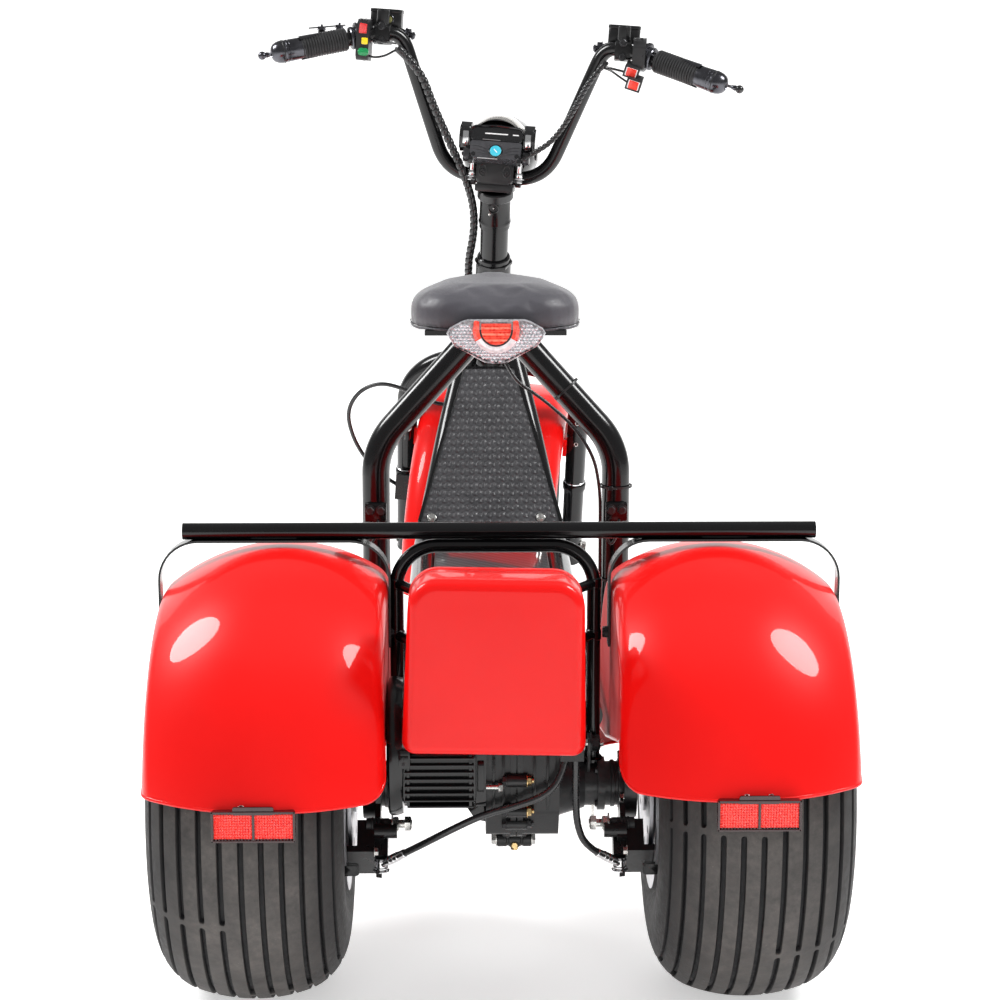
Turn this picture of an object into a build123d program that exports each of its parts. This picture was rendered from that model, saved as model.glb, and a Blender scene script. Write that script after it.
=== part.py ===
from build123d import *
import math
import os

# Electric three-wheel scooter. Millimetres. +X right, +Y forward, +Z up.
# Geometry is laid out with the rear axle at Y = 0 and the ground at Z = 0,
# then moved back by Y_SHIFT so the origin is under the middle of the vehicle.

os.makedirs("parts", exist_ok=True)

# ---- driving dimensions ----
Y_SHIFT = 632.5          # rear axle to middle of the overall length
R_TYRE = 228.0           # tyre outer radius
W_TYRE = 206.0           # tyre section width
R_RIM = 102.0            # bead seat radius
X_REAR = 258.0           # half track
Y_FRONT = 1300.0         # wheelbase
R_FENDER = 266.0         # rear fender outer radius
FEN_IN, FEN_OUT = 122.0, 363.0
X_CROWN, R_CROWN = 232.0, 190.0  # crown arc of the rear fenders
LIFT = 4.0               # gap between the straps and the crown
FEN_T = 3.0
Z_FEN_REAR_L, Z_FEN_REAR_R, Z_FEN_FRONT = 283.0, 292.0, 202.0   # the left fender hangs a little lower
R_RAIL = 17.0
X_RAIL = 96.0
Z_RAIL = 300.0
RAKE = 25.0              # steering axis, from vertical
Y_HEAD, Z_HEAD = 1100.0, 545.0   # a point on the steering axis (s = 0)
STEER = -6.5             # steering angle at rest, right turn
LEAN = 1.2               # the steering column leans a little to the right at its top
DX_HOOP, DX_BOX = -4.5, -7.0     # the hoop and the tail box sit a little left of the middle
Z_FRONT = R_TYRE + 0.8  # front wheel centre, so that the leaned wheel still touches the ground
R_BAR = 10.0
HALF_BAR = 338.0
X_SEAT_TUBE, Y_SEAT_TUBE, R_SEAT_TUBE = 143.0, 290.0, 16.5

NODES = {}


def put(name, shape):
    NODES[name] = shape


def both(shape):
    """A solid and its mirror image across the middle plane."""
    return Compound(children=[s for s in shape.solids()] + [s for s in shape.mirror(Plane.YZ).solids()])


def group(*shapes):
    out = []
    for s in shapes:
        out += list(s.solids())
    return Compound(children=out)


def rod(pts, r, radii=None):
    """Round bar along straight runs joined by tangent arcs."""
    if len(pts) == 2:
        path = Line(pts[0], pts[1])
    else:
        path = FilletPolyline(*pts, radius=radii)
    prof = Plane(origin=path @ 0, z_dir=path % 0) * Circle(r)
    return Solid(sweep(prof, path=path).solids()[0].wrapped)


def cord_radii(pts):
    """0.45 of the shorter run over the tangent of half the turn, for each corner."""
    out = []
    for a, b, c in zip(pts, pts[1:], pts[2:]):
        u, v = Vector(*b) - Vector(*a), Vector(*c) - Vector(*b)
        out.append(0.45 * min(u.length, v.length) / math.tan(math.radians(u.get_angle(v)) / 2))
    return out


def cord(name, pts, r):
    radii = cord_radii(pts)
    s = rod(pts, r, radii)
    path = FilletPolyline(*pts, radius=radii)
    print("%-18s length %.0f volume ratio %.3f radii %s" % (
        name, path.length, s.volume / (math.pi * r * r * path.length), [round(q) for q in radii]))
    return s


def cyl_x(x0, x1, y, z, r):
    return Pos((x0 + x1) / 2, y, z) * Rot(0, 90, 0) * Cylinder(r, abs(x1 - x0))


def cyl_y(x, y0, y1, z, r):
    return Pos(x, (y0 + y1) / 2, z) * Rot(90, 0, 0) * Cylinder(r, abs(y1 - y0))


def cyl_z(x, y, z0, z1, r):
    return Pos(x, y, (z0 + z1) / 2) * Cylinder(r, abs(z1 - z0))


def box(x0, x1, y0, y1, z0, z1):
    return Pos((x0 + x1) / 2, (y0 + y1) / 2, (z0 + z1) / 2) * Box(abs(x1 - x0), abs(y1 - y0), abs(z1 - z0))


def one(shape):
    """The largest solid of a result."""
    return sorted(shape.solids(), key=lambda s: s.volume)[-1]


# ---- steering frame: x right, y = away from the axis to the front, z = up the axis ----
SF = Plane(origin=(0, Y_HEAD, Z_HEAD), x_dir=(1, 0, 0),
           z_dir=(0, -math.sin(math.radians(RAKE)), math.cos(math.radians(RAKE))))
S_AXIS = Axis((0, Y_HEAD, Z_HEAD), (0, -math.sin(math.radians(RAKE)), math.cos(math.radians(RAKE))))


def ax(x, e, s):
    """World point from steering-frame coordinates."""
    sr, cr = math.sin(math.radians(RAKE)), math.cos(math.radians(RAKE))
    return (x, Y_HEAD - sr * s + cr * e, Z_HEAD + cr * s + sr * e)


L_AXIS = Axis((0, 0, 400), (0, 1, 0))


def leaned(shape):
    return shape.rotate(L_AXIS, LEAN)


def turned(shape):
    return leaned(shape.rotate(S_AXIS, STEER))


# ================= wheels =================
def tyre_solid():
    h = W_TYRE / 2
    a = [Line((-90, R_RIM), (90, R_RIM)), Line((90, R_RIM), (90, 115)),
         ThreePointArc((90, 115), (h - 3, 135), (h, 157)),
         ThreePointArc((h, 157), (h - 9, 190), (64, R_TYRE - 11.5)),
         ThreePointArc((64, R_TYRE - 11.5), (0, R_TYRE), (-64, R_TYRE - 11.5)),
         ThreePointArc((-64, R_TYRE - 11.5), (-h + 9, 190), (-h, 157)),
         ThreePointArc((-h, 157), (-h + 3, 135), (-90, 115)), Line((-90, 115), (-90, R_RIM))]
    return one(revolve(make_face(Wire(a)), Axis.X))


def rim_solid(web_x):
    """Rim barrel, flanges and five-hole web. Outboard is +x."""
    prof = (Pos(0, R_RIM - 2.25) * Rectangle(190, 4.5)
            + Pos(92.5, R_RIM + 4) * Rectangle(5, 16) + Pos(-92.5, R_RIM + 4) * Rectangle(5, 16)
            + Pos(web_x, 62) * Rectangle(10, 78))
    r = one(revolve(prof, Axis.X))
    for i in range(5):
        t = math.radians(72 * i + 36)
        r = r - Pos(web_x, 65 * math.cos(t), 65 * math.sin(t)) * Rot(0, 90, 0) * Cylinder(19, 30)
    return one(r)


def rear_wheel_parts():
    """Right-hand rear wheel about its own centre, +x outboard."""
    tyre = tyre_solid()
    rim = rim_solid(32)
    hub = cyl_x(-102, 48, 0, 0, 30) + cyl_x(-178, -90, 0, 0, 12.5)
    disc = cyl_x(-100, -96, 0, 0, 80)
    for i in range(10):
        t = math.radians(36 * i)
        disc = disc - Pos(-98, 62 * math.cos(t), 62 * math.sin(t)) * Rot(0, 90, 0) * Cylinder(5, 10)
    cap = cyl_x(48, 60, 0, 0, 22)
    return tyre, one(rim + hub + disc + cap)


tyre, rim = rear_wheel_parts()
put("rear_tyre_right", Pos(X_REAR, 0, R_TYRE) * tyre)
put("rear_rim_right", Pos(X_REAR, 0, R_TYRE) * rim)
put("rear_tyre_left", (Pos(X_REAR, 0, R_TYRE) * tyre).mirror(Plane.YZ))
put("rear_rim_left", (Pos(X_REAR, 0, R_TYRE) * rim).mirror(Plane.YZ))

# front wheel: hub between the fork legs, disc on the left side
f_rim = rim_solid(0)
f_hub = cyl_x(-113, 113, 0, 0, 28)
f_disc = cyl_x(-112.5, -108.5, 0, 0, 90)
f_bore = cyl_x(-120, 120, 0, 0, 8.5)
put("front_tyre", turned(Pos(0, Y_FRONT, Z_FRONT) * tyre_solid()))
put("front_rim", turned(Pos(0, Y_FRONT, Z_FRONT) * one((f_rim + f_hub + f_disc) - f_bore)))

# ================= frame =================
rail_pts = [(X_RAIL, 14, Z_RAIL), (X_RAIL, 898, Z_RAIL), (62, 1014, 455), (33, 1074, 568)]
rail_r = rod(rail_pts, R_RAIL, [95, 300])
head = one(SF * (Pos(0, 0, 96) * Cylinder(26, 172) - Pos(0, 0, 96) * Cylinder(21, 190)))
put("head_tube", leaned(head))
head_fill = leaned(SF * (Pos(0, 0, 96) * Cylinder(26, 172)))
rail_l = one(rail_r.mirror(Plane.YZ) - head_fill)
rail_r = one(rail_r - head_fill)
put("frame_rail_right", rail_r)
put("frame_rail_left", rail_l)
rails = [rail_r, rail_l]


def cut(shape, *others):
    for o in others:
        shape = shape - o
    return shape


rail_in = X_RAIL - R_RAIL
cross = [cyl_x(-rail_in, rail_in, Y_SEAT_TUBE, Z_RAIL, 15),
         one(cut(cyl_x(X_RAIL, X_SEAT_TUBE + 16, Y_SEAT_TUBE, Z_RAIL, 15), rails[0])),
         one(cut(cyl_x(-X_RAIL, -X_SEAT_TUBE - 16, Y_SEAT_TUBE, Z_RAIL, 15), rails[1])),
         cyl_x(-rail_in, rail_in, 80, Z_RAIL, 13),
         cyl_x(-rail_in, rail_in, 845, Z_RAIL - 6, 11)]
put("frame_crossbars", group(*cross))

# arch of two tubes that carries the seat
st_pts = [(X_SEAT_TUBE, Y_SEAT_TUBE, Z_RAIL), (X_SEAT_TUBE, Y_SEAT_TUBE, 553),
          (24, 303, 684)]
st = rod(st_pts, R_SEAT_TUBE, [85])
st = one(cut(st, *cross) - box(-300, 300, 200, 400, 684, 760))
put("seat_tubes", both(st))

# footboard between the rails, bent-up front panel
fb = extrude(Pos(0, 0, 308) * make_face(Polyline((-80, 312), (80, 312), (80, 850), (69, 900), (-69, 900), (-80, 850), close=True)), 6)
put("footboard", one(fb))
pl_dir = math.degrees(math.atan2(211, 136))
pl_len = math.hypot(136, 211)
PP = Plane(origin=(0, 903, 338), x_dir=(1, 0, 0),
           z_dir=(0, -math.sin(math.radians(pl_dir)), math.cos(math.radians(pl_dir))))
panel = extrude(PP * make_face(Polyline((-106, 0), (106, 0), (41, pl_len), (-41, pl_len), close=True)), 4)
put("front_panel", one(panel))
bat = box(-77, 77, 330, 826, 176, 306)
bat = fillet(bat.edges().filter_by(Axis.Y), 10)
put("battery_box", one(bat))

# ================= seat and tail light =================
sb = extrude(Pos(0, 0, 684) * make_face(Polyline((-84, 300), (84, 300), (78, 420), (34, 570), (-34, 570), (-78, 420), close=True)), 6)
put("seat_base", one(sb))
seat_face = make_face(Spline((0, 287), (70, 296), (104, 372), (84, 460), (46, 552), (0, 596),
                             (-46, 552), (-84, 460), (-104, 372), (-70, 296), periodic=True))
seat = extrude(Pos(0, 0, 690) * seat_face, 52)
put("seat", one(seat))
tl_face = make_face(Polyline((-38, 0), (38, 0), (58, -16), (48, -32), (14, -52), (-14, -52), (-48, -32), (-58, -16), close=True))
tl = extrude(Plane(origin=(0, 281, 707), x_dir=(1, 0, 0), z_dir=(0, -1, 0)) * tl_face, 26)
# the lamp sits on a plate behind the tube arch
tl = one(tl)
put("tail_light", tl)
tlb = box(-20, 20, 281, 296, 664, 683)
put("tail_light_bracket", one(cut(tlb, both(st))))

# ================= rear axle, gearbox, motor =================
ZA = R_TYRE
gb_pts = [(-128, 312), (-128, 238), (-102, 205), (-44, 190), (30, 190), (50, 206), (54, 262), (22, 312)]
gb_face = make_face(Polyline(*[(y, z) for y, z in gb_pts], close=True))
gb = extrude(Plane(origin=(-16, 0, 0), x_dir=(0, 1, 0), z_dir=(1, 0, 0)) * gb_face, 76)
gb = fillet(gb.edges().filter_by(Axis.X), 9)
gb = gb + cyl_x(-4, 33, -56, 185, 9)
drive_motor = cyl_x(-118, -101, -80, 296, 73)
body = fillet(box(-101, -27, -150, -30, 248, 312).edges().filter_by(Axis.X), 10)
mflange = fillet(box(-27, -16, -134, -30, 244, 314).edges().filter_by(Axis.X), 8)
put("drive_motor", one(drive_motor + body + mflange))
put("gearbox", one(gb))
ah_l = cyl_x(-148, -16, 0, ZA, 24)
ah_l += cyl_x(-148, -134, 0, ZA, 37)
ah_l += cyl_x(-114, -106, 0, ZA, 29)
ah_l = ah_l - cyl_x(-160, -72, 0, ZA, 14.5)
ah_r = cyl_x(60, 148, 0, ZA, 24) + cyl_x(134, 148, 0, ZA, 37) + cyl_x(106, 114, 0, ZA, 29)
ah_r += Pos(76, 0, ZA) * Rot(0, 90, 0) * Cone(36, 26, 32)
ah_r = ah_r - cyl_x(72, 160, 0, ZA, 14.5)


def bracket(side):
    """Plate that ties the axle housing to the frame rail."""
    b = box(side * 86, side * 104, 11, 50, 222, Z_RAIL - R_RAIL)
    return cut(b, cyl_x(side * 60, side * 120, 0, ZA, 14.5))


ah_l = one(ah_l + one(bracket(-1)))
ah_r = one(ah_r + one(bracket(1)))
put("axle_housing", group(ah_l, ah_r))


def caliper(side):
    """Rear brake caliper over the lower rear edge of the disc, x outboard."""
    k = box(134, 178, -28, 28, 56, 93) - box(152.5, 167.5, -60, 60, 20, 86)
    k = k + box(128, 134, -26, 26, 36, 90)
    k = k + cyl_x(110, 134, 30, 70, 8) + box(124, 134, 10, 34, 60, 80)
    k = k + box(120, 134, -2, 20, 66, 93)
    k = one(Pos(0, 0, ZA) * Rot(180 - 44, 0, 0) * k)
    if side < 0:
        k = one(k.mirror(Plane.YZ))
    return k


cal_r, cal_l = caliper(1), caliper(-1)
put("rear_calipers", group(cal_l, cal_r))

# ================= rear fenders =================
def fender_profile():
    # the crown is a shallow arc across the tyre, highest a little inside its middle
    yc = R_FENDER - R_CROWN
    mid, wid = (FEN_IN + FEN_OUT) / 2, FEN_OUT - FEN_IN
    big = Pos(mid, 195) * Rectangle(wid, 150) & Pos(X_CROWN, yc) * Circle(R_CROWN)
    big = fillet([v for v in big.vertices() if v.Y > 180], 27)
    small = Pos(mid, 185) * Rectangle(wid - 2 * FEN_T, 170) & Pos(X_CROWN, yc) * Circle(R_CROWN - FEN_T)
    small = fillet([v for v in small.vertices() if v.Y > 180], 24)
    return big - small - Pos(FEN_OUT, 100) * Rectangle(20, 2 * 95)


def fender(z_rear):
    f = revolve(fender_profile(), Axis.X)
    f = Pos(0, 0, ZA) * f
    # rear edge, front edge and the sloping lower edge of the inner wall
    f = f - box(0, 500, -400, 0, -100, z_rear) - box(0, 500, 0, 400, -100, Z_FEN_FRONT)
    low = extrude(Plane(origin=(100, 0, 0), x_dir=(0, 1, 0), z_dir=(1, 0, 0)) * make_face(
        Polyline((-250, 100), (-250, 348), (60, 264), (200, 236), (252, 210), (252, 100), close=True)), 32)
    f = f - low
    # the inner wall is solid above that edge
    wall = extrude(Plane(origin=(FEN_IN, 0, 0), x_dir=(0, 1, 0), z_dir=(1, 0, 0)) * (
        Pos(0, ZA) * Circle(200)), FEN_T)
    wall = wall - low - box(0, 500, -400, 0, -100, z_rear) - box(0, 500, 0, 400, -100, Z_FEN_FRONT)
    return one(f + wall)


fen_r = fender(Z_FEN_REAR_R)
fen_l = one(fender(Z_FEN_REAR_L).mirror(Plane.YZ))
put("rear_fender_right", fen_r)
put("rear_fender_left", fen_l)

# flat straps that hang each fender from the cross bar
zt = ZA + R_FENDER
x_mid, w_fen = (FEN_IN + FEN_OUT) / 2, FEN_OUT - FEN_IN
so = fillet([v for v in (Pos(x_mid, (zt + LIFT + 3 + 380) / 2) * Rectangle(w_fen + 6, zt + LIFT + 3 - 380)).vertices() if v.Y > 450], 35)
si = fillet([v for v in (Pos(x_mid, (zt + LIFT + 300) / 2) * Rectangle(w_fen, zt + LIFT - 300)).vertices() if v.Y > 450], 32)
sp = so - si - Pos(FEN_OUT + 3, 380) * Rectangle(40, 2 * 32)
strap = extrude(Plane(origin=(0, 11, 0), x_dir=(1, 0, 0), z_dir=(0, -1, 0)) * sp, 22)
put("fender_straps", both(one(strap)))
Z_BAR = zt + LIFT + 3 + R_BAR - 1.0
put("rear_cross_bar", one(cyl_x(-HALF_BAR, HALF_BAR, 0, Z_BAR, R_BAR - 1.0)))

# reflectors on the rear edge of each fender
def reflector(x0, x1, z0, z1):
    b = box(x0, x1, -268, -260, z0, z1)
    b = fillet(b.edges().filter_by(Axis.Y), 3)
    b = b + box(x0 + 25, x1 - 25, -262, -256, z1 - 12, z1 + 4)
    return one(b)


refl_r = one(reflector(209, 291, Z_FEN_REAR_R - 29, Z_FEN_REAR_R + 2) - fen_r)
refl_l = one(reflector(-285, -203, Z_FEN_REAR_L - 29, Z_FEN_REAR_L + 2) - fen_l)
put("rear_reflectors", group(refl_l, refl_r))

# ================= tail box and its hoop =================
hoop = rod([(DX_HOOP - 106, 2, 258), (DX_HOOP - 106, 2, 493), (DX_HOOP + 106, 2, 493), (DX_HOOP + 106, 2, 258)], 7.5, [44, 44])
hoop = one(cut(hoop, ah_l, ah_r, *rails))
put("rear_hoop", hoop)


def tail_body(inset, y0, y1):
    z0, z1 = 317 + inset, 498 - inset
    b = box(DX_BOX - 92 + inset, DX_BOX + 92 - inset, y0, y1, z0, z1)
    b = fillet(b.edges().filter_by(Axis.Y).sort_by(Axis.Z)[-2:], 26 - inset)
    b = fillet(b.edges().filter_by(Axis.Y).sort_by(Axis.Z)[:2], 14 - inset)
    return b


tb = tail_body(0, -195, -125)
back = tb.faces().sort_by(Axis.Y)[0]
tb = chamfer(back.edges(), 9)
put("tail_box", one(tb))
# four bent arms that carry the box from the legs of the hoop
arms = []
for z in (395, 452):
    for sgn in (-1, 1):
        arm = rod([(DX_HOOP + sgn * 106, 2, z), (DX_BOX + sgn * 74, -52, z), (DX_BOX + sgn * 74, -125, z)], 5.5, [40])
        arms.append(one(arm - hoop))
put("tail_box_arms", group(*arms))

# ================= steering body =================
stem = SF * (Pos(0, 0, 92) * Cylinder(15, 216) + Pos(0, 0, 242) * Cylinder(20.5, 114)
             + Pos(0, 0, 188) * Cylinder(24, 8) + Pos(0, 0, 268) * Cylinder(22.5, 50))
put("steering_stem", turned(one(stem)))

# handlebar: low bends, uprights and grips
hb = [(-312, 868, 994), (-147, 929, 1038), (-80, 957, 862), (-50, 963, 838),
      (50, 963, 838), (80, 957, 862), (147, 929, 1038), (312, 868, 994)]
bar = rod(hb, R_BAR, [32, 24, 24, 24, 24, 32])
put("handlebar", turned(bar))
s_bar = (838 - Z_HEAD) / math.cos(math.radians(RAKE))
clamp = box(-27, 27, 938, 988, 817, 861)
clamp = fillet(clamp.edges().filter_by(Axis.Z), 6)
clamp = clamp + SF * (Pos(0, 0, 298) * Cylinder(26, 14))
clamp = clamp - bar - SF * (Pos(0, 0, 242) * Cylinder(20.5, 114)) - SF * (Pos(0, 0, 268) * Cylinder(22.5, 50))
put("bar_clamp", turned(one(clamp)))

disp = fillet(box(-38, 38, 918, 952, 866, 913).edges().filter_by(Axis.Y), 9)
disp = one(cut(disp, bar, clamp))
put("display_unit", turned(disp))
lamp = cyl_y(0, 953, 1046, 872, 56)
lamp = chamfer(lamp.edges().sort_by(Axis.Y)[0], 22)
lamp = fillet(lamp.edges().sort_by(Axis.Y)[-1], 14)
lamp = lamp - box(-34, 34, 900, 994, 700, 866) - SF * (Pos(0, 0, 242) * Cylinder(23, 140)) - clamp - bar
put("headlight", turned(one(lamp)))

def sweep_grip(side):
    a, b = Vector(side * 208, 907, 1022.8), Vector(side * 316, 866.5, 992.9)
    d = (b - a).normalized()
    g = Plane(origin=a, z_dir=d) * (Pos(0, 0, 50) * Cylinder(16.5, 100) + Pos(0, 0, 104) * Cylinder(13, 12)
                                    + Pos(0, 0, -3) * Cylinder(21, 6))
    return one(g - bar)


grip_l, grip_r = sweep_grip(-1), sweep_grip(1)
put("grips", turned(group(grip_l, grip_r)))


def brake_control(side):
    """Reservoir, bar clamp and lever with its ball end; threaded hole for a mirror stem."""
    r = fillet(box(side * 148, side * 194, 936, 966, 1040, 1066).edges().filter_by(Axis.Z), 4)
    r = r + box(side * 162, side * 182, 930, 950, 1020, 1044) + box(side * 160, side * 184, 905, 946, 1015, 1047)
    pts = [(side * 176, 946, 1030), (side * 236, 942, 1012), (side * 340, 900, 988)]
    r = r + rod(pts, 4.2, [120]) + Pos(side * 340, 900, 988) * Sphere(6.2)
    r = r + cyl_z(side * 172, 918, 1040, 1064, 9)
    r = r - cyl_z(side * 172, 918, 1048, 1070, 4.25)
    return one(one(r) - bar)


ctl_l, ctl_r = brake_control(-1), brake_control(1)
put("brake_controls", turned(group(ctl_l, ctl_r)))


def pod(side, grip, ctl):
    p = fillet(box(side * 186, side * 205, 886, 928, 990, 1050).edges().filter_by(Axis.X), 6)
    return one(cut(p, bar, grip, ctl))


put("switch_pods", turned(group(pod(-1, grip_l, ctl_l), pod(1, grip_r, ctl_r))))

# fork: two legs, arch and bridge to the steering tube
fu = Vector(0, -math.sin(math.radians(RAKE)), math.cos(math.radians(RAKE)))
A = Vector(0, Y_FRONT, Z_FRONT)


def leg_pt(x, length):
    return (x, A.Y + fu.Y * length, A.Z + fu.Z * length)


fork = rod([leg_pt(-136, -26), leg_pt(-136, 346), leg_pt(136, 346), leg_pt(136, -26)], 16, [88, 88])
bridge = SF * (Pos(0, 21, -22) * Box(70, 92, 20))
fork = fork + bridge + cyl_x(-140, 140, Y_FRONT, Z_FRONT, 7.5)
fork = one(fork - SF * (Pos(0, 0, 92) * Cylinder(15, 216)))
put("fork", turned(fork))


def front_fender():
    big = Pos(0, 200) * Rectangle(232, 2 * (262 - 200))
    big = fillet([v for v in big.vertices() if v.Y > 200], 34)
    small = Pos(0, 195) * Rectangle(227, 2 * (259.5 - 195))
    small = fillet([v for v in small.vertices() if v.Y > 200], 31.5)
    f = revolve(big - small - Pos(0, 100) * Rectangle(300, 2 * 124), Axis.X)
    f = Pos(0, Y_FRONT, Z_FRONT) * f
    cutter = extrude(Plane(origin=(-200, Y_FRONT, Z_FRONT), x_dir=(0, 1, 0), z_dir=(1, 0, 0)) * make_face(
        Polyline((0, 0), (-500, -90), (-500, -500), (500, -500), (500, 290), close=True)), 400)
    return one(f - cutter)


ff = front_fender()
stay = []
for sgn in (-1, 1):
    stay.append(box(sgn * 116, sgn * 121.5, 1186, 1212, 398, 424))
ffu = ff
for b in stay:
    ffu = ffu + cut(b, fork)
put("front_fender", turned(one(ffu)))

# front brake caliper behind the left leg, and the lug where its hose ends
fc = box(-127, -100, -27, 27, 60, 100) - box(-115.5, -105.5, -60, 60, 0, 93)
fc = one(Pos(0, Y_FRONT, Z_FRONT) * Rot(66, 0, 0) * fc)
lug = box(-150, -126, 1218, 1250, 300, 340)
lug = one(cut(lug, fork))
put("front_caliper", turned(group(one(cut(fc, fork)), lug)))

# ================= cords =================
# hose end fittings: banjo and crimped ferrule at each rear caliper
def hose_end(side, cal):
    f = cyl_z(side * 127, -75, 149, 171, 6) + rod([(side * 127, -75, 163), (side * 103, -93, 181)], 4.6)
    return one(cut(f, cal))


end_l, end_r = hose_end(-1, cal_l), hose_end(1, cal_r)
put("hose_fittings", group(end_l, end_r))
tee = box(60, 84, -150, -126, 299, 315)
put("hose_tee", tee)

HOSE_L = [(-103, -93, 181), (-82, -109, 197), (-54, -130, 219), (-18, -143, 241), (18, -145, 251), (46, -145, 262),
          (61, -142, 279), (66, -138, 299)]
HOSE_R = [(103, -93, 181), (88, -105, 194), (79, -117, 220), (77, -128, 250), (76.5, -136, 276), (76.5, -138, 299)]
put("brake_hose_left", cut(cord("brake_hose_left", HOSE_L, 3.7), end_l, tee))
put("brake_hose_right", cut(cord("brake_hose_right", HOSE_R, 3.7), end_r, tee))

HOSE_F = [ax(-28, 12, -32), ax(-34, 10, -60), (-62, 1106, 474), (-100, 1098, 484), (-136, 1100, 499), (-172, 1106, 503),
          (-204, 1114, 486), (-222, 1124, 452), (-214, 1138, 412), (-196, 1160, 375), (-172, 1200, 340), (-150, 1232, 322)]
hf = cord("front_brake_hose", HOSE_F, 3.2)
put("front_brake_hose", turned(cut(hf, lug, fork)))

LEAD = [(10, 270, 657), (24, 264, 634), (56, 268, 612), (92, 268, 580), (116, 271, 543), (124, 281, 500), (124.5, 283, 440),
        (124.5, 283, 380), (124.5, 284, 332)]
put("tail_light_lead", cut(cord("tail_light_lead", LEAD, 2.0), tl, *cross))

LOOM_L = [(-148, 912, 1012), (-124, 912, 985), (-104, 918, 935), (-74, 936, 880), (-46, 944, 842), ax(-34, -4, 288),
          ax(-30, -2, 255), ax(-31, -2, 222), ax(-38, 2, 180), ax(-38, 12, 130), ax(-33, 24, 76), ax(-27, 34, 34),
          ax(-26, 36, -12)]
ll = cord("cable_loom_left", LOOM_L, 6)
put("cable_loom_left", turned(cut(ll, fork, bar, clamp, disp)))
LOOM_R = [(150, 912, 1012), (130, 908, 990), (108, 912, 940), (84, 926, 900), (60, 934, 880), (38, 938, 868)]
lr = cord("cable_loom_right", LOOM_R, 4)
put("cable_loom_right", turned(cut(lr, bar, clamp, disp)))

moved = Location((0, -Y_SHIFT, 0))
lo, hi = [1e9] * 3, [-1e9] * 3
for name, shape in NODES.items():
    s = shape.moved(moved)
    for i, v in enumerate(s.bounding_box().min):
        lo[i] = min(lo[i], v)
    for i, v in enumerate(s.bounding_box().max):
        hi[i] = max(hi[i], v)
    export_step(s, "parts/%s.step" % name)
print("nodes", len(NODES), "box", [round(v, 1) for v in lo], [round(v, 1) for v in hi],
      "middle Y", round((lo[1] + hi[1]) / 2, 1))
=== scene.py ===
import bpy
import bmesh
import math
import numpy as np
from mathutils import Matrix, Vector, Quaternion, noise


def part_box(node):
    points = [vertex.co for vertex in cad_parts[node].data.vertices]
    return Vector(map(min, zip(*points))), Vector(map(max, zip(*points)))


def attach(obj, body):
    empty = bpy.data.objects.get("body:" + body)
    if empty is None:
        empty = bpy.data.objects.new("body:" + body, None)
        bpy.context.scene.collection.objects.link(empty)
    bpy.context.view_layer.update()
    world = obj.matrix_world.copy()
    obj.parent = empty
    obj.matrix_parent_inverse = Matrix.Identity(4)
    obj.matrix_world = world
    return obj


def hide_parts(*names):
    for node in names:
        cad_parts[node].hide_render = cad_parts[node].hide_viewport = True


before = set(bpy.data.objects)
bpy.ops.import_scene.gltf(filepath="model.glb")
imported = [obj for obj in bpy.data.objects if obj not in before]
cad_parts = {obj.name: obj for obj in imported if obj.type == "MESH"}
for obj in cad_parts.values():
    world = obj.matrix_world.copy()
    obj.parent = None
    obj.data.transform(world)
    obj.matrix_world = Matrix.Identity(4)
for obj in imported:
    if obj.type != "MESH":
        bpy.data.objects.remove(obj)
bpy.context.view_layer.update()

# Layout millimetres: rear axle at Y = 0, ground at Z = 0; the row frame is 632.5 mm behind, in metres.
Y_SHIFT = 632.5
RAKE, Y_HEAD, Z_HEAD, STEER, LEAN = math.radians(25), 1100.0, 545.0, math.radians(-6.5), math.radians(1.2)
SDIR = Vector((0, -math.sin(RAKE), math.cos(RAKE)))
SPT = Vector((0, Y_HEAD, Z_HEAD))
LEANM = Matrix.Translation((0, 0, 400)) @ Matrix.Rotation(LEAN, 4, "Y") @ Matrix.Translation((0, 0, -400))
TURN = LEANM @ Matrix.Translation(SPT) @ Matrix.Rotation(STEER, 4, SDIR) @ Matrix.Translation(-SPT)
ROW = Matrix.Scale(0.001, 4) @ Matrix.Translation((0, -Y_SHIFT, 0))
PI = math.pi


def ax(x, e, s):
    """Layout point from steering-frame coordinates: x right, e forward of the axis, s up the axis."""
    sr, cr = math.sin(RAKE), math.cos(RAKE)
    return (x, Y_HEAD - sr * s + cr * e, Z_HEAD + cr * s + sr * e)


def row_pt(p, turn=False):
    v = Vector(p)
    if turn:
        v = TURN @ v
    return ROW @ v


# ------------------------------------------------------------------ camera
cam_data = bpy.data.cameras.new("camera")
cam = bpy.data.objects.new("camera", cam_data)
bpy.context.scene.collection.objects.link(cam)
cam.location = (-0.0364, -3.0325, 1.0)
cam.rotation_mode = "XYZ"
cam.rotation_euler = (math.radians(90 - 10.78), 0, math.radians(-0.88))
cam_data.lens = 82.5
cam_data.sensor_width = 36
cam_data.clip_start, cam_data.clip_end = 0.05, 60
bpy.context.scene.camera = cam
# ------------------------------------------------------------------ materials
def new_mat(name):
    m = bpy.data.materials.new(name)
    m.use_nodes = True
    nt = m.node_tree
    b = nt.nodes["Principled BSDF"]
    return m, nt, b


def link(nt, a, b):
    nt.links.new(a, b)


def tex_coord(nt, scale=(1, 1, 1)):
    tc = nt.nodes.new("ShaderNodeTexCoord")
    mp = nt.nodes.new("ShaderNodeMapping")
    mp.inputs["Scale"].default_value = scale
    link(nt, tc.outputs["Object"], mp.inputs["Vector"])
    return mp.outputs["Vector"]


def noise_node(nt, vec, scale, detail=4, rough=0.55):
    n = nt.nodes.new("ShaderNodeTexNoise")
    n.inputs["Scale"].default_value = scale
    n.inputs["Detail"].default_value = detail
    n.inputs["Roughness"].default_value = rough
    link(nt, vec, n.inputs["Vector"])
    return n


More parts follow.
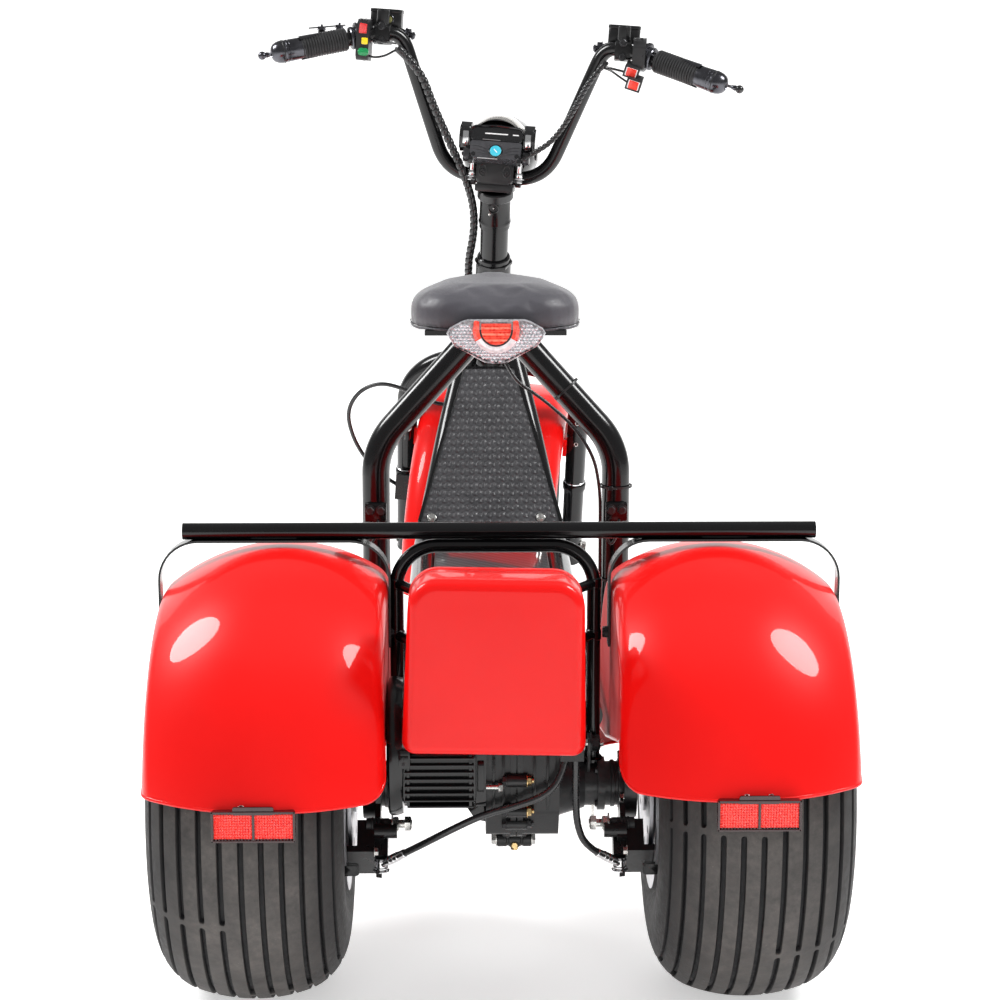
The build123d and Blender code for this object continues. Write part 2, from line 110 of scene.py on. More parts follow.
def ramp(nt, fac, stops):
    r = nt.nodes.new("ShaderNodeValToRGB")
    el = r.color_ramp.elements
    el[0].position, el[0].color = stops[0][0], (*stops[0][1], 1)
    el[1].position, el[1].color = stops[-1][0], (*stops[-1][1], 1)
    for p, c in stops[1:-1]:
        e = el.new(p)
        e.color = (*c, 1)
    link(nt, fac, r.inputs["Fac"])
    return r.outputs["Color"]


def bump(nt, height, strength, dist, bsdf, normal=None):
    b = nt.nodes.new("ShaderNodeBump")
    b.inputs["Strength"].default_value = strength
    b.inputs["Distance"].default_value = dist
    link(nt, height, b.inputs["Height"])
    if normal is not None:
        link(nt, normal, b.inputs["Normal"])
    link(nt, b.outputs["Normal"], bsdf.inputs["Normal"])
    return b.outputs["Normal"]


def mat_surface(name, base, var=None, rough=0.4, rough_var=0.0, metallic=0.0, coat=0.0, coat_rough=0.03,
                bump_scale=None, bump_strength=0.1, bump_dist=0.0005, noise_scale=40, spec=0.5, detail=5, ior=1.5, sheen=0.0):
    """A finish with slow colour variation, uneven roughness and a fine surface grain."""
    m, nt, b = new_mat(name)
    v = tex_coord(nt)
    n = noise_node(nt, v, noise_scale, detail)
    var = var or tuple(c * 1.25 + 0.001 for c in base)
    link(nt, ramp(nt, n.outputs["Fac"], [(0.3, base), (0.72, var)]), b.inputs["Base Color"])
    if rough_var:
        n2 = noise_node(nt, v, noise_scale * 2.3, 6, 0.6)
        mr = nt.nodes.new("ShaderNodeMapRange")
        mr.inputs["From Min"].default_value, mr.inputs["From Max"].default_value = 0.3, 0.7
        mr.inputs["To Min"].default_value, mr.inputs["To Max"].default_value = rough - rough_var, rough + rough_var
        link(nt, n2.outputs["Fac"], mr.inputs["Value"])
        link(nt, mr.outputs["Result"], b.inputs["Roughness"])
    else:
        b.inputs["Roughness"].default_value = rough
    b.inputs["Metallic"].default_value = metallic
    b.inputs["Coat Weight"].default_value = coat
    b.inputs["Coat Roughness"].default_value = coat_rough
    b.inputs["Specular IOR Level"].default_value = spec
    b.inputs["IOR"].default_value = ior
    if sheen:
        b.inputs["Sheen Weight"].default_value = sheen
        b.inputs["Sheen Roughness"].default_value = 0.4
    if bump_scale:
        n3 = noise_node(nt, v, bump_scale, 6, 0.6)
        bump(nt, n3.outputs["Fac"], bump_strength, bump_dist, b)
    return m


M = {}
M["red"] = mat_surface("red_lacquer", (0.74, 0.0042, 0.0035), (0.80, 0.0055, 0.0045), rough=0.36, rough_var=0.04, coat=0.42,
                       coat_rough=0.025, bump_scale=260, bump_strength=0.03, bump_dist=0.0004, noise_scale=6, spec=0.12)
M["red_inner"] = mat_surface("red_inner_face", (0.55, 0.05, 0.05), (0.62, 0.07, 0.07), rough=0.6, rough_var=0.08,
                             bump_scale=200, bump_strength=0.2, bump_dist=0.0006, noise_scale=10, spec=0.3)
M["frame"] = mat_surface("black_powder_coat", (0.0025, 0.0025, 0.003), (0.004, 0.004, 0.0045), rough=0.20, rough_var=0.03, coat=0.2,
                         coat_rough=0.06, spec=0.38, bump_scale=420, bump_strength=0.06, bump_dist=0.0004, noise_scale=12)
M["cast"] = mat_surface("black_cast", (0.005, 0.005, 0.0055), (0.009, 0.009, 0.0095), spec=0.35, rough=0.32, rough_var=0.08, coat=0.15,
                        bump_scale=520, bump_strength=0.28, bump_dist=0.0006, noise_scale=30)
M["rough_cast"] = mat_surface("black_rough_cast", (0.010, 0.010, 0.011), (0.022, 0.022, 0.024), rough=0.40, rough_var=0.10, coat=0.2,
                              bump_scale=230, bump_strength=0.45, bump_dist=0.0010, noise_scale=40)
M["case"] = mat_surface("black_moulding", (0.012, 0.012, 0.013), (0.018, 0.018, 0.019), rough=0.38, rough_var=0.05,
                        bump_scale=700, bump_strength=0.12, bump_dist=0.0003, noise_scale=25)
M["gloss_case"] = mat_surface("gloss_black_moulding", (0.006, 0.006, 0.007), (0.009, 0.009, 0.010), rough=0.10, rough_var=0.03, coat=0.6,
                              bump_scale=300, bump_strength=0.02, bump_dist=0.0003, noise_scale=15)
M["steel"] = mat_surface("zinc_plated_steel", (0.62, 0.62, 0.60), (0.74, 0.73, 0.70), rough=0.26, rough_var=0.08, metallic=1.0,
                         bump_scale=900, bump_strength=0.15, bump_dist=0.0002, noise_scale=120)
M["chrome"] = mat_surface("bright_plate", (0.80, 0.80, 0.81), (0.86, 0.86, 0.87), rough=0.10, rough_var=0.03, metallic=1.0,
                          bump_scale=500, bump_strength=0.03, bump_dist=0.0002, noise_scale=60)
M["alloy"] = mat_surface("satin_alloy", (0.36, 0.36, 0.38), (0.44, 0.44, 0.46), rough=0.32, rough_var=0.06, metallic=1.0,
                         bump_scale=700, bump_strength=0.12, bump_dist=0.0003, noise_scale=30)
M["gunmetal"] = mat_surface("gunmetal", (0.085, 0.085, 0.095), (0.13, 0.13, 0.145), rough=0.22, rough_var=0.06, metallic=1.0,
                            bump_scale=900, bump_strength=0.08, bump_dist=0.0002, noise_scale=90)
M["rubber"] = mat_surface("black_rubber", (0.013, 0.013, 0.014), (0.020, 0.020, 0.021), rough=0.48, rough_var=0.07,
                          bump_scale=800, bump_strength=0.2, bump_dist=0.0003, noise_scale=60)
M["hose"] = mat_surface("hose_cover", (0.010, 0.010, 0.011), (0.015, 0.015, 0.016), rough=0.27, rough_var=0.05, coat=0.2,
                        bump_scale=900, bump_strength=0.08, bump_dist=0.0002, noise_scale=80)
M["loom"] = mat_surface("spiral_wrap", (0.010, 0.010, 0.011), (0.016, 0.016, 0.017), rough=0.22, rough_var=0.05, coat=0.25,
                        bump_scale=700, bump_strength=0.05, bump_dist=0.0002, noise_scale=70)


def mix_rgb(nt, fac, a, b, mode="MIX"):
    n = nt.nodes.new("ShaderNodeMix")
    n.data_type = "RGBA"
    n.blend_type = mode
    if isinstance(fac, float):
        n.inputs["Factor"].default_value = fac
    else:
        link(nt, fac, n.inputs["Factor"])
    for sock, val in (("A", a), ("B", b)):
        s = [i for i in n.inputs if i.name == sock and i.type == "RGBA"][0]
        if isinstance(val, tuple):
            s.default_value = (*val, 1)
        else:
            link(nt, val, s)
    return [o for o in n.outputs if o.type == "RGBA"][0]


def math_node(nt, op, a, b=None, clamp=False):
    n = nt.nodes.new("ShaderNodeMath")
    n.operation = op
    n.use_clamp = clamp
    for i, val in enumerate((a, b)):
        if val is None:
            continue
        if isinstance(val, (int, float)):
            n.inputs[i].default_value = val
        else:
            link(nt, val, n.inputs[i])
    return n.outputs[0]


def map_range(nt, val, a0, a1, b0, b1):
    n = nt.nodes.new("ShaderNodeMapRange")
    n.inputs["From Min"].default_value, n.inputs["From Max"].default_value = a0, a1
    n.inputs["To Min"].default_value, n.inputs["To Max"].default_value = b0, b1
    link(nt, val, n.inputs["Value"])
    return n.outputs["Result"]


# tyre rubber: bare black in the grooves, dusty brownish ribs, pale specks and scuffs; the pale rib colour is partly
# dust and wear and partly painted shade, kept out of the grooves and darker towards the sidewalls
m, nt, b = new_mat("tyre_rubber")
v = tex_coord(nt)
at = nt.nodes.new("ShaderNodeAttribute")
at.attribute_name = "wear_and_shade"
n1, n2, n3 = noise_node(nt, v, 26, 6, 0.62), noise_node(nt, v, 150, 5, 0.6), noise_node(nt, v, 900, 3, 0.6)
# painted shade mixed with real dust: the tread mask lightens the rib tops and leaves the grooves and sidewalls dark
dust_and_shade = math_node(nt, "MULTIPLY", at.outputs["Fac"], map_range(nt, n1.outputs["Fac"], 0.30, 0.66, 0.45, 1.0), True)
base = mix_rgb(nt, dust_and_shade, (0.0125, 0.0125, 0.0138), (0.092, 0.084, 0.079))
grain = ramp(nt, n2.outputs["Fac"], [(0.35, (0.70, 0.70, 0.70)), (0.68, (1.22, 1.20, 1.18))])
base = mix_rgb(nt, 0.85, base, grain, "MULTIPLY")
vo = nt.nodes.new("ShaderNodeTexVoronoi")
vo.inputs["Scale"].default_value = 210
link(nt, v, vo.inputs["Vector"])
speck = map_range(nt, vo.outputs["Distance"], 0.05, 0.12, 1.0, 0.0)
speck = math_node(nt, "MULTIPLY", speck, map_range(nt, n1.outputs["Fac"], 0.5, 0.68, 0.0, 0.55), True)
speck = math_node(nt, "MULTIPLY", speck, at.outputs["Fac"], True)
base = mix_rgb(nt, speck, base, (0.24, 0.22, 0.20))
link(nt, base, b.inputs["Base Color"])
link(nt, map_range(nt, n2.outputs["Fac"], 0.3, 0.7, 0.52, 0.78), b.inputs["Roughness"])
b.inputs["Specular IOR Level"].default_value = 0.35
h = math_node(nt, "ADD", math_node(nt, "MULTIPLY", n2.outputs["Fac"], 0.6), math_node(nt, "MULTIPLY", n3.outputs["Fac"], 0.4))
bump(nt, h, 0.45, 0.0008, b)
M["tyre"] = m

M["steel_dark"] = mat_surface("blackened_screws", (0.028, 0.028, 0.030), (0.05, 0.05, 0.052), rough=0.30, rough_var=0.08, metallic=0.7,
                              bump_scale=900, bump_strength=0.12, bump_dist=0.0002, noise_scale=120)
M["brass"] = mat_surface("yellow_zinc", (0.55, 0.38, 0.16), (0.70, 0.52, 0.26), rough=0.30, rough_var=0.08, metallic=1.0,
                         bump_scale=900, bump_strength=0.15, bump_dist=0.0002, noise_scale=160)
M["maroon"] = mat_surface("reflector_frame", (0.022, 0.003, 0.004), (0.040, 0.005, 0.006), rough=0.22, rough_var=0.05, coat=0.5,
                          bump_scale=600, bump_strength=0.05, bump_dist=0.0002, noise_scale=60)

# prismatic reflector: bright red facets with a weak emission, a painted glow standing in for the light it throws back
m, nt, b = new_mat("reflector_prisms")
v = tex_coord(nt)
vo = nt.nodes.new("ShaderNodeTexVoronoi")
vo.inputs["Scale"].default_value = 420
link(nt, v, vo.inputs["Vector"])
n1 = noise_node(nt, v, 120, 3)
f = math_node(nt, "ADD", math_node(nt, "MULTIPLY", vo.outputs["Distance"], 0.7), math_node(nt, "MULTIPLY", n1.outputs["Fac"], 0.5))
col = ramp(nt, f, [(0.28, (0.58, 0.005, 0.004)), (0.48, (0.74, 0.010, 0.006)), (0.75, (0.88, 0.035, 0.020))])
link(nt, col, b.inputs["Base Color"])
# painted glow: the facet colour also emits
link(nt, col, b.inputs["Emission Color"])
b.inputs["Emission Strength"].default_value = 0.20
b.inputs["Roughness"].default_value = 0.16
b.inputs["Coat Weight"].default_value = 1.0
b.inputs["Coat Roughness"].default_value = 0.04
bump(nt, vo.outputs["Distance"], 0.35, 0.0006, b)
M["reflex"] = m

# seat cover: fine leather grain over soft creases
m, nt, b = new_mat("seat_cover_leather")
v = tex_coord(nt)
vo = nt.nodes.new("ShaderNodeTexVoronoi")
vo.feature = "DISTANCE_TO_EDGE"
vo.inputs["Scale"].default_value = 620
link(nt, v, vo.inputs["Vector"])
n1, n2 = noise_node(nt, v, 18, 4), noise_node(nt, v, 420, 5)
base = ramp(nt, n1.outputs["Fac"], [(0.3, (0.046, 0.044, 0.053)), (0.7, (0.066, 0.063, 0.075))])
cell = map_range(nt, vo.outputs["Distance"], 0.0, 0.09, 0.55, 1.0)
base = mix_rgb(nt, cell, (0.034, 0.033, 0.039), base)
link(nt, base, b.inputs["Base Color"])
link(nt, map_range(nt, n2.outputs["Fac"], 0.3, 0.7, 0.34, 0.50), b.inputs["Roughness"])
b.inputs["Sheen Weight"].default_value = 0.15
b.inputs["Sheen Roughness"].default_value = 0.5
h = math_node(nt, "ADD", math_node(nt, "MULTIPLY", cell, 0.8), math_node(nt, "MULTIPLY", n1.outputs["Fac"], 1.4))
bump(nt, h, 0.22, 0.0006, b)
M["seat"] = m
M["thread"] = mat_surface("black_thread", (0.03, 0.03, 0.033), (0.05, 0.05, 0.054), rough=0.6, rough_var=0.08, bump_scale=1500,
                          bump_strength=0.3, bump_dist=0.0002, noise_scale=300)


def lens_mat(name, c0, c1, emit=0.0, rough=0.1, alpha_scale=300, metallic=0.0, coat=1.0, strength=0.25):
    m, nt, b = new_mat(name)
    v = tex_coord(nt)
    vo = nt.nodes.new("ShaderNodeTexVoronoi")
    vo.inputs["Scale"].default_value = alpha_scale
    link(nt, v, vo.inputs["Vector"])
    n1 = noise_node(nt, v, alpha_scale * 0.4, 3)
    f = math_node(nt, "ADD", math_node(nt, "MULTIPLY", vo.outputs["Distance"], 0.6), math_node(nt, "MULTIPLY", n1.outputs["Fac"], 0.6))
    col = ramp(nt, f, [(0.28, c0), (0.72, c1)])
    link(nt, col, b.inputs["Base Color"])
    if emit:
        link(nt, col, b.inputs["Emission Color"])
        b.inputs["Emission Strength"].default_value = emit
    b.inputs["Roughness"].default_value = rough
    b.inputs["Metallic"].default_value = metallic
    b.inputs["Coat Weight"].default_value = coat
    b.inputs["Coat Roughness"].default_value = 0.03
    bump(nt, vo.outputs["Distance"], strength, 0.0005, b)
    return m


M["lamp_back"] = mat_surface("lamp_housing", (0.05, 0.05, 0.055), (0.09, 0.09, 0.095), rough=0.25, rough_var=0.05, coat=0.5,
                             bump_scale=500, bump_strength=0.05, bump_dist=0.0002, noise_scale=60)
M["lens"] = lens_mat("clear_lens_body", (0.20, 0.20, 0.21), (0.55, 0.55, 0.58), rough=0.12, alpha_scale=240, metallic=0.35)
M["lens_cell"] = lens_mat("bright_lens_cells", (0.40, 0.41, 0.44), (0.88, 0.89, 0.93), rough=0.10, alpha_scale=380, metallic=0.6)
M["lens_white"] = lens_mat("clear_light_guide", (0.66, 0.64, 0.66), (0.92, 0.90, 0.92), emit=0.12, rough=0.14, alpha_scale=200)
M["lens_red"] = lens_mat("red_lens", (0.70, 0.012, 0.012), (0.98, 0.09, 0.05), emit=0.14, rough=0.1, alpha_scale=260)
M["lens_orange"] = lens_mat("light_red_lens", (0.86, 0.05, 0.03), (1.0, 0.30, 0.20), emit=0.16, rough=0.1, alpha_scale=260)

# embossed dark sheet of the leg panel
M["emboss"] = mat_surface("embossed_sheet", (0.030, 0.030, 0.033), (0.046, 0.046, 0.050), rough=0.42, rough_var=0.07,
                          bump_scale=900, bump_strength=0.25, bump_dist=0.0003, noise_scale=30)

# woven carbon-look sheet: twill of dark and paler tows
m, nt, b = new_mat("woven_sheet")
tc = nt.nodes.new("ShaderNodeTexCoord")
sep = nt.nodes.new("ShaderNodeSeparateXYZ")
link(nt, tc.outputs["Object"], sep.inputs["Vector"])
pitch = 0.0042
cx = math_node(nt, "FLOOR", math_node(nt, "DIVIDE", sep.outputs["X"], pitch))
cy = math_node(nt, "FLOOR", math_node(nt, "DIVIDE", sep.outputs["Y"], pitch))
tw = math_node(nt, "LESS_THAN", math_node(nt, "FLOORED_MODULO", math_node(nt, "ADD", cx, cy), 4.0), 1.5)
fx = math_node(nt, "ABSOLUTE", math_node(nt, "SUBTRACT", math_node(nt, "FRACT", math_node(nt, "DIVIDE", sep.outputs["X"], pitch)), 0.5))
fy = math_node(nt, "ABSOLUTE", math_node(nt, "SUBTRACT", math_node(nt, "FRACT", math_node(nt, "DIVIDE", sep.outputs["Y"], pitch)), 0.5))
hx = math_node(nt, "SUBTRACT", 1.0, math_node(nt, "MULTIPLY", fx, 1.3))
hy = math_node(nt, "SUBTRACT", 1.0, math_node(nt, "MULTIPLY", fy, 1.3))
mixh = nt.nodes.new("ShaderNodeMix")
mixh.data_type = "FLOAT"
link(nt, tw, mixh.inputs[0])
link(nt, hx, mixh.inputs[2])
link(nt, hy, mixh.inputs[3])
n1 = noise_node(nt, tex_coord(nt), 900, 3)
col = mix_rgb(nt, tw, (0.018, 0.018, 0.020), (0.095, 0.095, 0.10))
col = mix_rgb(nt, 0.6, col, ramp(nt, n1.outputs["Fac"], [(0.3, (0.7, 0.7, 0.7)), (0.7, (1.2, 1.2, 1.2))]), "MULTIPLY")
link(nt, col, b.inputs["Base Color"])
b.inputs["Roughness"].default_value = 0.30
b.inputs["Coat Weight"].default_value = 0.7
b.inputs["Coat Roughness"].default_value = 0.06
bump(nt, mixh.outputs[0], 0.35, 0.0005, b)
M["carbon"] = m
for key, c0, c1 in (("sw_red", (0.62, 0.010, 0.012), (0.74, 0.03, 0.03)), ("sw_yellow", (0.85, 0.60, 0.01), (0.95, 0.70, 0.03)),
                    ("sw_green", (0.004, 0.20, 0.055), (0.01, 0.30, 0.09)), ("cyan", (0.02, 0.42, 0.58), (0.10, 0.62, 0.74)),
                    ("white", (0.70, 0.70, 0.70), (0.82, 0.82, 0.82)), ("grey_case", (0.035, 0.035, 0.039), (0.055, 0.055, 0.06)),
                    ("bright_red", (0.80, 0.03, 0.02), (0.95, 0.08, 0.05))):
    M[key] = mat_surface("moulded_" + key, c0, c1, rough=0.24, rough_var=0.05, coat=0.4, bump_scale=700, bump_strength=0.05,
                         bump_dist=0.0002, noise_scale=80)
M["lamp_shell"] = mat_surface("pale_shell", (0.52, 0.50, 0.47), (0.62, 0.60, 0.57), rough=0.16, rough_var=0.04, metallic=0.75, coat=0.6,
                              bump_scale=500, bump_strength=0.03, bump_dist=0.0002, noise_scale=40)
M["glass"] = lens_mat("lamp_glass", (0.55, 0.56, 0.58), (0.80, 0.81, 0.83), rough=0.06, alpha_scale=90, metallic=0.5)
M["cast_s"] = mat_surface("satin_black_block", (0.012, 0.012, 0.013), (0.017, 0.017, 0.018), rough=0.34, rough_var=0.06, coat=0.2,
                          bump_scale=620, bump_strength=0.16, bump_dist=0.0004, noise_scale=30)
M["sight"] = lens_mat("sight_glass", (0.10, 0.10, 0.03), (0.35, 0.34, 0.14), rough=0.08, alpha_scale=500)


# ------------------------------------------------------------------ geometry helpers, layout millimetres
class Geo:
    def __init__(self):
        self.v, self.f, self.mi, self.mask = [], [], [], []

    def add(self, verts, faces, mat=0, mask=None):
        n = len(self.v)
        self.v.extend([tuple(p) for p in verts])
        self.f.extend([tuple(i + n for i in f) for f in faces])
        self.mi.extend([mat] * len(faces))
        self.mask.extend(mask if mask is not None else [0.0] * len(verts))

    def mirrored(self):
        g = Geo()
        g.v = [(-x, y, z) for x, y, z in self.v]
        g.f = [tuple(reversed(f)) for f in self.f]
        g.mi, g.mask = list(self.mi), list(self.mask)
        return g

    def moved(self, m4):
        g = Geo()
        g.v = [tuple(m4 @ Vector(p)) for p in self.v]
        g.f, g.mi, g.mask = list(self.f), list(self.mi), list(self.mask)
        return g

    def join(self, *others):
        for o in others:
            n = len(self.v)
            self.v.extend(o.v)
            self.f.extend([tuple(i + n for i in f) for f in o.f])
            self.mi.extend(o.mi)
            self.mask.extend(o.mask)
        return self


def bm_into(g, bm, mat=0, m4=None):
    bm.verts.index_update()
    vs = [(m4 @ v.co) if m4 is not None else v.co.copy() for v in bm.verts]
    fs = [[v.index for v in f.verts] for f in bm.faces]
    g.add(vs, fs, mat)
    bm.free()


def g_box(g, lo, hi, mat=0, bev=0.0, seg=2, m4=None):
    bm = bmesh.new()
    bmesh.ops.create_cube(bm, size=1)
    for v in bm.verts:
        v.co = Vector([(lo[i] + hi[i]) / 2 + v.co[i] * (hi[i] - lo[i]) for i in range(3)])
    if bev:
        bmesh.ops.bevel(bm, geom=bm.edges[:], offset=bev, segments=seg, affect="EDGES", profile=0.5)
    bm_into(g, bm, mat, m4)


def g_prism(g, poly, w0, w1, to, mat=0, bev=0.0, seg=2):
    """A closed outline in (u, v), extruded over w; to(u, v, w) gives the layout point."""
    bm = bmesh.new()
    lo = [bm.verts.new((u, v, w0)) for u, v in poly]
    hi = [bm.verts.new((u, v, w1)) for u, v in poly]
    bm.faces.new(lo[::-1])
    bm.faces.new(hi)
    n = len(poly)
    for i in range(n):
        bm.faces.new((lo[i], lo[(i + 1) % n], hi[(i + 1) % n], hi[i]))
    if bev:
        rim = [e for e in bm.edges if abs(e.verts[0].co.z - e.verts[1].co.z) < 1e-6]
        bmesh.ops.bevel(bm, geom=rim, offset=bev, segments=seg, affect="EDGES", profile=0.5)
    for v in bm.verts:
        v.co = Vector(to(*v.co))
    bm_into(g, bm, mat)


def frame_of(axis):
    a = Vector(axis).normalized()
    h = Vector((0, 0, 1)) if abs(a.z) < 0.9 else Vector((1, 0, 0))
    u = a.cross(h).normalized()
    return a, u, a.cross(u)


def g_lathe(g, org, axis, prof, seg=32, mat=0, closed=False, phase=0.0, mask=None):
    """Turned shape: prof is a list of (distance along the axis, radius)."""
    a, u, v = frame_of(axis)
    o = Vector(org)
    vs, rings, mk = [], [], []
    for j, (t, r) in enumerate(prof):
        if r < 1e-6:
            rings.append([len(vs)])
            vs.append(o + a * t)
            mk.append(mask[j] if mask else 0.0)
        else:
            rings.append(list(range(len(vs), len(vs) + seg)))
            for k in range(seg):
                th = 2 * PI * k / seg + phase
                vs.append(o + a * t + (u * math.cos(th) + v * math.sin(th)) * r)
                mk.append(mask[j] if mask else 0.0)
    fs = []
    pairs = list(zip(rings, rings[1:])) + ([(rings[-1], rings[0])] if closed else [])
    for A, B in pairs:
        if len(A) == 1 and len(B) == 1:
            continue
        for k in range(seg):
            k2 = (k + 1) % seg
            if len(A) == 1:
                fs.append((A[0], B[k], B[k2]))
            elif len(B) == 1:
                fs.append((A[k], B[0], A[k2]))
            else:
                fs.append((A[k], B[k], B[k2], A[k2]))
    g.add(vs, fs, mat, mk)


def g_cyl(g, p0, p1, r, mat=0, seg=32, ch=0.6, r1=None):
    p0, p1 = Vector(p0), Vector(p1)
    L = (p1 - p0).length
    r1 = r if r1 is None else r1
    ch = min(ch, L * 0.3, r * 0.4)
    g_lathe(g, p0, p1 - p0, [(0, 0), (0, r - ch), (ch * 0.3, r - ch * 0.3), (ch, r), (L - ch, r1), (L - ch * 0.3, r1 - ch * 0.3),
                             (L, r1 - ch), (L, 0)], seg, mat)


def g_sphere(g, c, r, mat=0, seg=24, squash=1.0, axis=(0, 0, 1)):
    n = seg // 2
    prof = [(-r * squash * math.cos(PI * i / n), r * math.sin(PI * i / n)) for i in range(n + 1)]
    g_lathe(g, c, axis, prof, seg, mat)


def g_hex(g, p, d, r, h, mat=0, washer=0.0, phase=0.0, dome=0.0):
    """Hexagon head or nut standing on p, r to the corners."""
    p, d = Vector(p), Vector(d).normalized()
    if washer:
        g_cyl(g, p, p + d * washer, r * 1.32, mat, 28, 0.3)
        p = p + d * washer
    g_lathe(g, p, d, [(0, 0), (0, r), (h * 0.86, r), (h, r * 0.86), (h + dome, 0)], 6, mat, phase=phase)
    return p


def g_socket(g, p, d, r, h, mat=0, dark=0, phase=0.0):
    """Socket-head screw: knurled round head with a hexagon recess."""
    p, d = Vector(p), Vector(d).normalized()
    ri = r * 0.55
    g_lathe(g, p, d, [(0, 0), (0, r), (h - 0.5, r), (h - 0.12, r - 0.15), (h, r - 0.5), (h, ri + 0.5), (h - 0.4, ri), (h * 0.35, ri)], 24, mat, phase=phase)
    g_lathe(g, p, d, [(h * 0.35, ri), (h * 0.35, 0)], 24, dark, phase=phase)


def smooth_path(pts, step=3.0, closed=False):
    """Centripetal Catmull-Rom through the points, resampled at about step."""
    P = [Vector(p) for p in pts]
    if closed:
        P = [P[-1]] + P + [P[0], P[1]]
    else:
        P = [P[0] * 2 - P[1]] + P + [P[-1] * 2 - P[-2]]
    out = []
    for i in range(len(P) - 3):
        a, b, c, d = P[i:i + 4]
        t0 = 0.0
        t1 = t0 + max((b - a).length ** 0.5, 1e-5)
        t2 = t1 + max((c - b).length ** 0.5, 1e-5)
        t3 = t2 + max((d - c).length ** 0.5, 1e-5)
        n = max(1, int((c - b).length / step))
        for k in range(n):
            t = t1 + (t2 - t1) * k / n
            A1 = a * ((t1 - t) / (t1 - t0)) + b * ((t - t0) / (t1 - t0))
            A2 = b * ((t2 - t) / (t2 - t1)) + c * ((t - t1) / (t2 - t1))
            A3 = c * ((t3 - t) / (t3 - t2)) + d * ((t - t2) / (t3 - t2))
            B1 = A1 * ((t2 - t) / (t2 - t0)) + A2 * ((t - t0) / (t2 - t0))
            B2 = A2 * ((t3 - t) / (t3 - t1)) + A3 * ((t - t1) / (t3 - t1))
            out.append(B1 * ((t2 - t) / (t2 - t1)) + B2 * ((t - t1) / (t2 - t1)))
    if not closed:
        out.append(P[-2])
    return out


def path_frames(P, closed=False):
    """Tangents and a normal that doesn't twist, for each point."""
    n = len(P)
    T = []
    for i in range(n):
        a = P[(i - 1) % n] if (closed or i > 0) else P[i]
        b = P[(i + 1) % n] if (closed or i < n - 1) else P[i]
        T.append((b - a).normalized())
    _, u, _ = frame_of(T[0])
    U = [u]
    for i in range(1, n):
        u = U[-1] - T[i] * U[-1].dot(T[i])
        U.append(u.normalized())
    return T, U


def g_tube(g, pts, r, mat=0, seg=12, closed=False, cap=True, rf=None, flat=1.0):
    P = [Vector(p) for p in pts]
    T, U = path_frames(P, closed)
    vs, n = [], len(P)
    for i in range(n):
        v = T[i].cross(U[i])
        rr = rf(i / (n - 1)) if rf else r
        for k in range(seg):
            th = 2 * PI * k / seg
            vs.append(P[i] + (U[i] * math.cos(th) + v * (math.sin(th) * flat)) * rr)
    fs = []
    for i in range(n if closed else n - 1):
        j = (i + 1) % n
        for k in range(seg):
            k2 = (k + 1) % seg
            fs.append((i * seg + k, i * seg + k2, j * seg + k2, j * seg + k))
    if cap and not closed:
        fs.append(tuple(range(seg))[::-1])
        fs.append(tuple((n - 1) * seg + k for k in range(seg)))
    g.add(vs, fs, mat)


def g_band(g, path, normals, w, t, mat=0):
    """Flat band: w wide across the path, t thick outward along the normals."""
    P = [Vector(p) for p in path]
    vs, n = [], len(P)
    for i in range(n):
        T = (P[min(i + 1, n - 1)] - P[max(i - 1, 0)]).normalized()
        N = Vector(normals[i]).normalized()
        B = T.cross(N)
        for a, b in ((-w / 2, 0), (w / 2, 0), (w / 2, t), (-w / 2, t)):
            vs.append(P[i] + B * a + N * b)
    fs = []
    for i in range(n - 1):
        for k in range(4):
            k2 = (k + 1) % 4
            fs.append((i * 4 + k, i * 4 + k2, (i + 1) * 4 + k2, (i + 1) * 4 + k))
    fs.append((0, 1, 2, 3)[::-1])
    fs.append(tuple((n - 1) * 4 + k for k in range(4)))
    g.add(vs, fs, mat)


def g_grid(g, fn, nu, nv, mat=0, wrap_u=False, wrap_v=False, mask=None):
    """fn(i, j) for i in 0..nu, j in 0..nv."""
    cu, cv = (nu if wrap_u else nu + 1), (nv if wrap_v else nv + 1)
    vs = [fn(i, j) for i in range(cu) for j in range(cv)]
    fs = []
    for i in range(nu):
        for j in range(nv):
            i2, j2 = (i + 1) % cu, (j + 1) % cv
            fs.append((i * cv + j, i2 * cv + j, i2 * cv + j2, i * cv + j2))
    mk = [mask(i, j) for i in range(cu) for j in range(cv)] if mask else None
    g.add(vs, fs, mat, mk)


def rrect(x0, x1, z0, z1, r, n=6):
    """Rounded rectangle outline; r is one radius or four, from the lower left, counter-clockwise."""
    rs = r if isinstance(r, (tuple, list)) else (r, r, r, r)
    out = []
    for (cx, cz, a0), q in zip(((x0, z0, 180), (x1, z0, 270), (x1, z1, 0), (x0, z1, 90)), rs):
        sx, sz = (1 if cx == x0 else -1), (1 if cz == z0 else -1)
        for k in range(n + 1):
            a = math.radians(a0 + 90 * k / n)
            out.append((cx + sx * q + q * math.cos(a), cz + sz * q + q * math.sin(a)))
    return out


